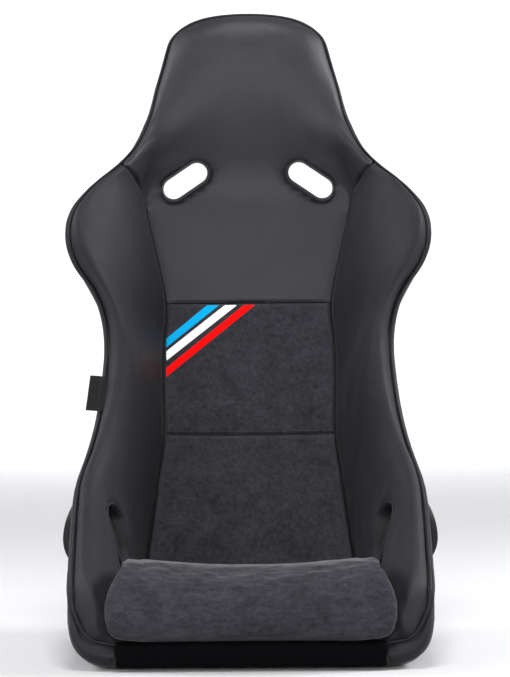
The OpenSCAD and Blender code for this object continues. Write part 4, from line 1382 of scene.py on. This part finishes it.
def lap_bezel(s):
    prof = [(0, 252.5, 0, .9), (0, 225, 0, .3), (0, 3, 1, 0), (.8, -1.2, 1, 0), (2, -3, 1, 0),
            (3.4, -3.9, 1, 0), (4.8, -3.4, 1, 0), (5.8, -1.5, 1, 0), (4.6, 3, 1, 0), (4, 7, 1, 0),
            (4, 243, 0, 0), (4, 252.4, 0, 0), (11, 252.4, 0, 0), (11.2, 253.2, 0, .4),
            (9.4, 254.4, 0, .7), (6, 254.9, 0, 1), (1.5, 254.6, 0, 1)]
    n = 96
    rings = [[] for _ in range(n)]
    e0 = ring_outline(n, LAP_H, LAP_D, 0)
    e7 = ring_outline(n, LAP_H, LAP_D, 9.5)
    wx = np.array([wall_at(LAP_Y + q[1], LAP_Z + q[0]) for q in e7])
    wx = np.convolve(np.concatenate([wx[-4:], wx, wx[:4]]), np.ones(9) / 9, "valid")
    for g, x0, k, fl in prof:
        e = ring_outline(n, LAP_H, LAP_D, g)
        for i in range(n):
            z, y = LAP_Z + e[i, 0], LAP_Y + e[i, 1]
            q = e0[i, 0] + 2
            flare = 16.5 * max(0, 1 - (q / (36 if q < 0 else 52))**2)**1.2
            rings[i].append((s * (x0 + k * wx[i] + flare * fl), y, z))
    v, f = tube(np.array(rings), loop=True)
    name = "left" if s < 0 else "right"
    idx = [1 if 2 <= q % len(prof) <= 8 else 0 for q in range(n * len(prof))]
    o = make("lap_slot_" + name, M(v), f, [BEZEL, LEATHER], "seat", idx, angle=40)
    outward(o)
    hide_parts("lap_bezel_" + name)
    return o


lap_bezel(1)
lap_bezel(-1)


# ======================================================================
# front trim, label, stripes
# ======================================================================
def poly_round(pts, r, seg=4):
    """rounds the corners of a closed outline"""
    out = []
    n = len(pts)
    P = [np.array(p, float) for p in pts]
    for i in range(n):
        a, b, c = P[i - 1], P[i], P[(i + 1) % n]
        u, w = (a - b), (c - b)
        lu, lw = np.linalg.norm(u), np.linalg.norm(w)
        d = min(r, lu * .45, lw * .45)
        p, q = b + u / lu * d, b + w / lw * d
        for k in range(seg + 1):
            t = k / seg
            out.append((1 - t)**2 * p + 2 * t * (1 - t) * b + t * t * q)
    return np.array(out)


def trim():
    sec = poly_round([[-289.5, 6], [-289.5, 20], [-287, 24.4], [-282, 24.4], [-269.5, 11],
                      [-262, 7.5], [-262, 30], [-270, 37], [-282, 39.5], [-291, 39],
                      [-297, 34], [-299.5, 22], [-298, 9], [-294, 5]], 3.0, 3)
    xs = np.concatenate([[-183, -182.4, -181], np.linspace(-177, 177, 60), [181, 182.4, 183]])
    c = sec.mean(0)
    rings = []
    for x in xs:
        e = max(0, abs(x) - 180.5) / 2.5
        k = 1 - .05 * e * e
        q = c + (sec - c) * k
        wob = .25 * math.sin(x / 23.0) + .15 * math.sin(x / 7.7)
        q = q + np.array([0, wob * .5])
        rings.append(np.stack([np.full(len(q), x), q[:, 0], q[:, 1]], -1))
    v, f = tube(np.array(rings))
    o = make("front_lip", M(v), f, [TRIM], "seat", angle=45)
    outward(o)
    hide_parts("front_trim")
    return o


trim()


def label():
    v = 7.48
    r = [x for x in rail(np.array([v]))]
    tt = unit(rail(np.array([v + .05]))[10] - rail(np.array([v - .05]))[10])[0]
    ff = unit(r[5] - r[10])[0]
    oo = unit(np.cross(tt, ff))
    base = r[10][0]
    # a folded tape: two leaves that open a little towards the fold
    L, R = 57.0, 25.0
    rings = []
    prof = [(17.1, 0), (17.05, 6), (16.9, 12), (16.6, 18), (16.3, 23), (16.5, 24.6), (17.2, 25.1),
            (17.9, 24.6), (18.15, 23), (18.3, 18), (18.4, 12), (18.4, 6), (18.3, 0)]
    for c in np.linspace(-L / 2, L / 2, 30):
        wave = .45 * math.sin(c / 9.0)
        ring = []
        for (a, b) in prof:
            q = base + (a + wave * b / 25) * ff + b * oo + c * tt
            ring.append((-q[0], q[1], q[2]))
        rings.append(ring)
    v_, f = tube(np.array(rings))
    o = make("side_tab", M(v_), f, [LABEL], "seat", angle=60)
    outward(o)
    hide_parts("side_label")
    # the hem stitch across it, near the seam
    P = np.array([base + 18.55 * ff + 7.5 * oo + c * tt for c in np.linspace(-L/2 + 2, L/2 - 2, 40)])
    N = np.array([ff] * 40)
    P[:, 0] *= -1
    N[:, 0] *= -1
    Q, n = resample(P, N, 4.2)
    build_stitches("tab_stitching", [(Q, unit(np.gradient(Q, axis=0)), n)], THREAD, "seat", 2.8, .3)


label()

# surface height of the upper panel after the cloth: y over x and z
UT = UP[1]


def panel_y(x, z):
    P = UT.reshape(-1, 3)
    d = (P[:, 0] - x)**2 + (P[:, 2] - z)**2
    i = np.argsort(d)[:4]
    w = 1 / (d[i] + .05)
    return (P[i, 1] * w).sum() / w.sum()


def stripe(name, q, mat, node):
    q = np.array(q, float)
    ns, nt = 70, 7
    S, T_ = np.meshgrid(np.linspace(0, 1, ns + 1), np.linspace(0, 1, nt), indexing="ij")
    p = (q[0] * (1 - S[..., None]) + q[2] * S[..., None]) * (1 - T_[..., None]) \
        + (q[1] * (1 - S[..., None]) + q[3] * S[..., None]) * T_[..., None]
    y = np.array([[panel_y(a[0], a[1]) for a in row] for row in p])
    # smooth the sampled height along the stripe
    for _ in range(3):
        y[1:-1] = (y[:-2] + 2 * y[1:-1] + y[2:]) / 4
    edge = np.minimum(T_, 1 - T_)
    crown = .35 * ease(edge / .18)
    base = np.stack([p[..., 0], y, p[..., 1]], -1)
    top = base - np.array([0, 1, 0]) * (.45 + crown)[..., None]
    v, f, i = slab(top, base - np.array([0, .12, 0]))
    o = make(name, M(v), f, [mat], "seat", angle=50)
    outward(o)
    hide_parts(node)
    rows = []
    for t in (1, nt - 2):
        P = top[2:-2, t] - np.array([0, .05, 0])
        rows.append((P, np.tile([0, -1.0, 0], (len(P), 1))))
    return rows


RED_Q = [[-129, 405], [-129, 391.3], [-7.6, 502.5], [10, 502.5]]
stripe("stripe_blue_band", [[-129.5, 450.2], [-129.5, 436.4], [-65.2, 502.5], [-46.4, 502.5]], BLUE, "stripe_blue")
stripe("stripe_white_band", [[-129, 430.8], [-128.5, 416.6], [-37.5, 502.5], [-18.4, 502.5]], WHITE, "stripe_white")
stripe("stripe_red_band", RED_Q, RED, "stripe_red")


# ======================================================================
# cushion
# ======================================================================
CW, CTOP, DISH = 406.0, 150.0, 12.0
YF, YR = -303.0, 92.0


def cw(y, z):
    tub = 166 - .055 * np.maximum(np.minimum(y, 60), -262)
    k = ease((-274 - y) / 16)
    face = CW / 2 - .0042 * (z - 80)**2
    return tub * (1 - k) + np.maximum(face, tub) * k


def ctop(y):
    return np.where(y < -255, CTOP - ((y + 255) / 48)**2 * 26, CTOP - 46 * ease((y + 255) / 350))


def cbot(y):
    return np.where(y < -256, 41.5, np.where(y < -244, 12 + 29.5 * (-244 - y) / 12, 12.0))


def sq(k):
    """k in 0..1 round the plan"""
    i = np.floor(k * 4).astype(int) % 4
    t = np.sin(math.pi / 2 * ((k * 4 - np.floor(k * 4)) * 2 - 1))
    one = np.ones_like(t)
    px = np.select([i == 0, i == 1, i == 2, i == 3], [one, -t, -one, t])
    py = np.select([i == 0, i == 1, i == 2, i == 3], [t, one, -t, -one])
    r = (np.abs(px)**22 + np.abs(py)**22)**(1 / 22)
    return px / r, py / r


CL = np.array([[11, 0], [4, .05], [.8, .2], [0, .45], [.8, .7], [3, .88],
               [4.5, .972], [10, 1], [70, 1], [135, 1], [200, 1]], float)


def c_pt(k, q, d=0.0):
    ux, uy = sq(k)
    sc = 1 - q[0] / 200
    ly, my = (YR - YF) / 2 - d, (YR + YF) / 2
    y0 = my - uy * ly * sc
    zt, zb = ctop(y0) - d, cbot(y0) + d * .2
    crown = -DISH * (1 - np.abs(ux * sc)**2.4)
    z = zb + (zt + crown - zb) * q[1]
    y = y0 + np.where(y0 > 0, (z - 12) * .42 * y0 / YR, 0)
    return np.stack([ux * (cw(y0, z) - d) * sc, y, z], -1)


def cushion():
    n = 200
    s = np.concatenate([np.linspace(0, 7, 36), np.linspace(7, 10, 16)[1:-1], [9.97]])
    i = np.minimum(s.astype(int), 9)
    f = s - i
    idx = lambda j: CL[np.clip(j, 0, 10)]
    # Catmull-Rom through the levels
    def crl(i, f):
        p, q = idx(i), idx(i + 1)
        o_ = np.where((i > 0)[:, None], idx(i - 1), 2 * p - q)
        r_ = np.where((i < 9)[:, None], idx(i + 2), 2 * q - p)
        f = f[:, None]
        m_, n_ = (q - o_) / 2, (r_ - p) / 2
        return (2*f**3-3*f**2+1)*p + (f**3-2*f**2+f)*m_ + (3*f**2-2*f**3)*q + (f**3-f**2)*n_
    LV = crl(i, f)
    LV[:, 1] = np.clip(LV[:, 1], 0, 1)
    LV[:, 0] = np.maximum(LV[:, 0], 0)
    kk = np.arange(n) / n
    R = np.stack([c_pt(kk, q, .8) for q in LV])
    v = R.reshape(-1, 3)
    ids = np.arange(R.shape[0] * n).reshape(R.shape[0], n)
    F = []
    nx = np.roll(ids, -1, 1)
    F += np.stack([ids[:-1], nx[:-1], nx[1:], ids[1:]], -1).reshape(-1, 4).tolist()
    # top: fan to a middle vertex; bottom: one face ring inward
    top = len(v)
    v = np.concatenate([v, [[0, -104, float(ctop(np.array(-104.0))) - DISH - .8]],
                        [[0, -104, 12.3]]])
    F += [[int(a), int(b), top] for a, b in zip(ids[-1], nx[-1])]
    F += [[int(b), int(a), top + 1] for a, b in zip(ids[0], nx[0])]
    o = make("seat_cushion", M(v), F, [SUEDE_SEAT], None, angle=None)
    outward(o)
    # even quads for the cloth
    m = o.modifiers.new("remesh", "REMESH")
    m.mode = "VOXEL"
    m.voxel_size = .0045
    m.use_smooth_shade = True
    dg = bpy.context.evaluated_depsgraph_get()
    me = bpy.data.meshes.new_from_object(o.evaluated_get(dg))
    o.modifiers.clear()
    o.data = me
    P = np.zeros(len(me.vertices) * 3)
    me.vertices.foreach_get("co", P)
    P = P.reshape(-1, 3)
    me.calc_loop_triangles()
    nrm = np.zeros(len(me.vertices) * 3)
    me.vertices.foreach_get("normal", nrm)
    nrm = nrm.reshape(-1, 3)
    mm = P * 1000 - np.array([0, YO, 0])
    faces = [tuple(p.vertices) for p in me.polygons]
    # held where it lies on the pan and against the bolsters
    pin = np.clip(1 - (mm[:, 2] - 14) / 8, 0, 1) * (mm[:, 1] > -250)
    tub = np.clip((np.abs(mm[:, 0]) - 150) / 12, 0, 1) * (mm[:, 1] > -262) * (mm[:, 1] < 70)
    pin = np.clip(np.maximum(pin, tub * .9), 0, 1)
    P = puff(P, pin, faces, None, 3.0, .0045, 16, 10)
    mm = P * 1000 - np.array([0, YO, 0])
    # sit marks: the front roll sags in the middle, suede wrinkles across it
    y, z, x = mm[:, 1], mm[:, 2], mm[:, 0]
    up = np.clip(nrm[:, 2], 0, 1)
    fr = np.clip(-nrm[:, 1], 0, 1)
    sag = 3 * np.exp(-(np.abs(x) / 125)**3) * ease((z - 90) / 45) * ease((-60 - y) / 120)
    mm[:, 2] -= sag
    wr = NOISE(mm, 26, (2.6, 1, 1)) * 1.0 + NOISE2(mm, 12, (2.2, 1, 1)) * .5
    band = np.exp(-((y + 272) / 30)**2) * ease((z - 95) / 20)
    small = .5 * NOISE2(mm, 34)
    fold = NOISE2(mm + 40, 9, (3.4, 1, 1)) * np.exp(-((y + 285) / 22)**2) * ease((z - 108) / 18)
    mm += nrm * ((wr * band * 1.9 + small * .9 + fold * 1.1) * np.clip(up + fr, 0, 1))[:, None]
    # nothing goes below 12 mm, the top of the pan
    mm[:, 2] = np.maximum(mm[:, 2], 12.0)
    P = M(mm)
    me.vertices.foreach_set("co", P.reshape(-1))
    me.materials.clear()
    me.materials.append(SUEDE_SEAT)
    me.update()
    smooth(me, None)
    s2 = o.modifiers.new("smooth", "SUBSURF")
    s2.levels = s2.render_levels = 1
    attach(o, "cushion")
    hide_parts("cushion_cover", "cushion_foam")
    return o


cush = cushion()


# ======================================================================
# carried-over CAD nodes
# ======================================================================
def paint(node, mat):
    o = nodes[node]
    o.data.materials.clear()
    o.data.materials.append(mat)


for nd, mt in (("mount_inserts_left", STEEL), ("mount_inserts_right", STEEL),
               ("cushion_base", BASECLOTH), ("hook_strip_left", HOOK),
               ("hook_strip_right", HOOK), ("loop_strip_left", LOOP),
               ("loop_strip_right", LOOP)):
    paint(nd, mt)

# ======================================================================
# floor, light, camera
# ======================================================================
def stage():
    m = Mat("studio_floor")
    n = m.noise(3, 2)
    m.set(Base_Color=m.mix(n, (.53, .53, .541), (.565, .565, .576)), Roughness=.75)
    m.set(Specular_IOR_Level=.2)
    prof = [(6.9 * t, 0.0) for t in (.06, .12, .2, .32, .48, .66, .84, 1)]
    for t in np.linspace(0, math.pi / 2, 18)[1:]:
        prof.append((6.9 + 1.6 * math.sin(t), 1.6 - 1.6 * math.cos(t)))
    prof.append((8.5, 7.5))
    n, k = 96, len(prof)
    V = [(0.0, 0.0, -.0005)]
    for i in range(n):
        c, d = math.cos(2 * math.pi * i / n), math.sin(2 * math.pi * i / n)
        V += [(r * c, r * d, z - .0005) for (r, z) in prof]
    F = []
    for i in range(n):
        p, q = 1 + i * k, 1 + (i + 1) % n * k
        F.append((0, p, q))
        F += [(p + j, p + j + 1, q + j + 1, q + j) for j in range(k - 1)]
    o = make("studio_floor", V, F, [m.m], None, angle=None)


stage()


def area(name, loc, target, sx, sy, power, color=(1, 1, 1)):
    d = bpy.data.lights.new(name, "AREA")
    d.shape = "RECTANGLE"
    d.size, d.size_y = sx, sy
    d.energy = power
    d.color = color
    o = bpy.data.objects.new(name, d)
    o.location = loc
    o.rotation_euler = (Vector(target) - Vector(loc)).to_track_quat("-Z", "Y").to_euler()
    o.visible_camera = False
    bpy.context.scene.collection.objects.link(o)
    return o


area("key_front", (0, -3.9, .8), (0, 0, .5), 1.2, .6, 92)
area("key_top", (0, -.9, 2.9), (0, -.05, .4), .9, 1.1, 56)
area("fill_left", (-2.4, -2.4, 1.4), (0, 0, .45), .8, 1.2, 26)
area("side_left", (-2.4, .3, 1.75), (0, 0, .6), .8, 1.2, 46)
area("side_right", (2.4, .2, 1.75), (0, 0, .6), .8, 1.2, 88)
area("back_wash", (0, 5.6, 4.8), (0, 8.5, .7), 6.0, 1.6, 480)
area("wash_left", (-5.6, 0, 4.8), (-8.5, 0, .7), 6.0, 1.6, 230)
area("wash_right", (5.6, 0, 4.8), (8.5, 0, .7), 6.0, 1.6, 230)
area("wash_front", (0, -5.6, 4.8), (0, -8.5, .7), 6.0, 1.6, 130)
w = bpy.data.worlds.new("studio")
bpy.context.scene.world = w
w.use_nodes = True
bg = w.node_tree.nodes["Background"]
bg.inputs["Color"].default_value = (1, 1, 1, 1)
bg.inputs["Strength"].default_value = .03

cam = bpy.data.cameras.new("camera")
co = bpy.data.objects.new("camera", cam)
bpy.context.scene.collection.objects.link(co)
cam.sensor_width = 36
cam.lens = 2414 / 677 * 36
cam.shift_x = 6 / 677
cam.clip_start = .05
cam.clip_end = 60
co.matrix_world = (Matrix.Translation((0, -3.548, .450)) @ Matrix.Rotation(math.radians(90), 4, "X")
                   @ Matrix.Rotation(math.radians(-.4), 4, "Z"))
bpy.context.scene.camera = co
bpy.context.scene.view_settings.view_transform = "Standard"

bpy.context.view_layer.update()
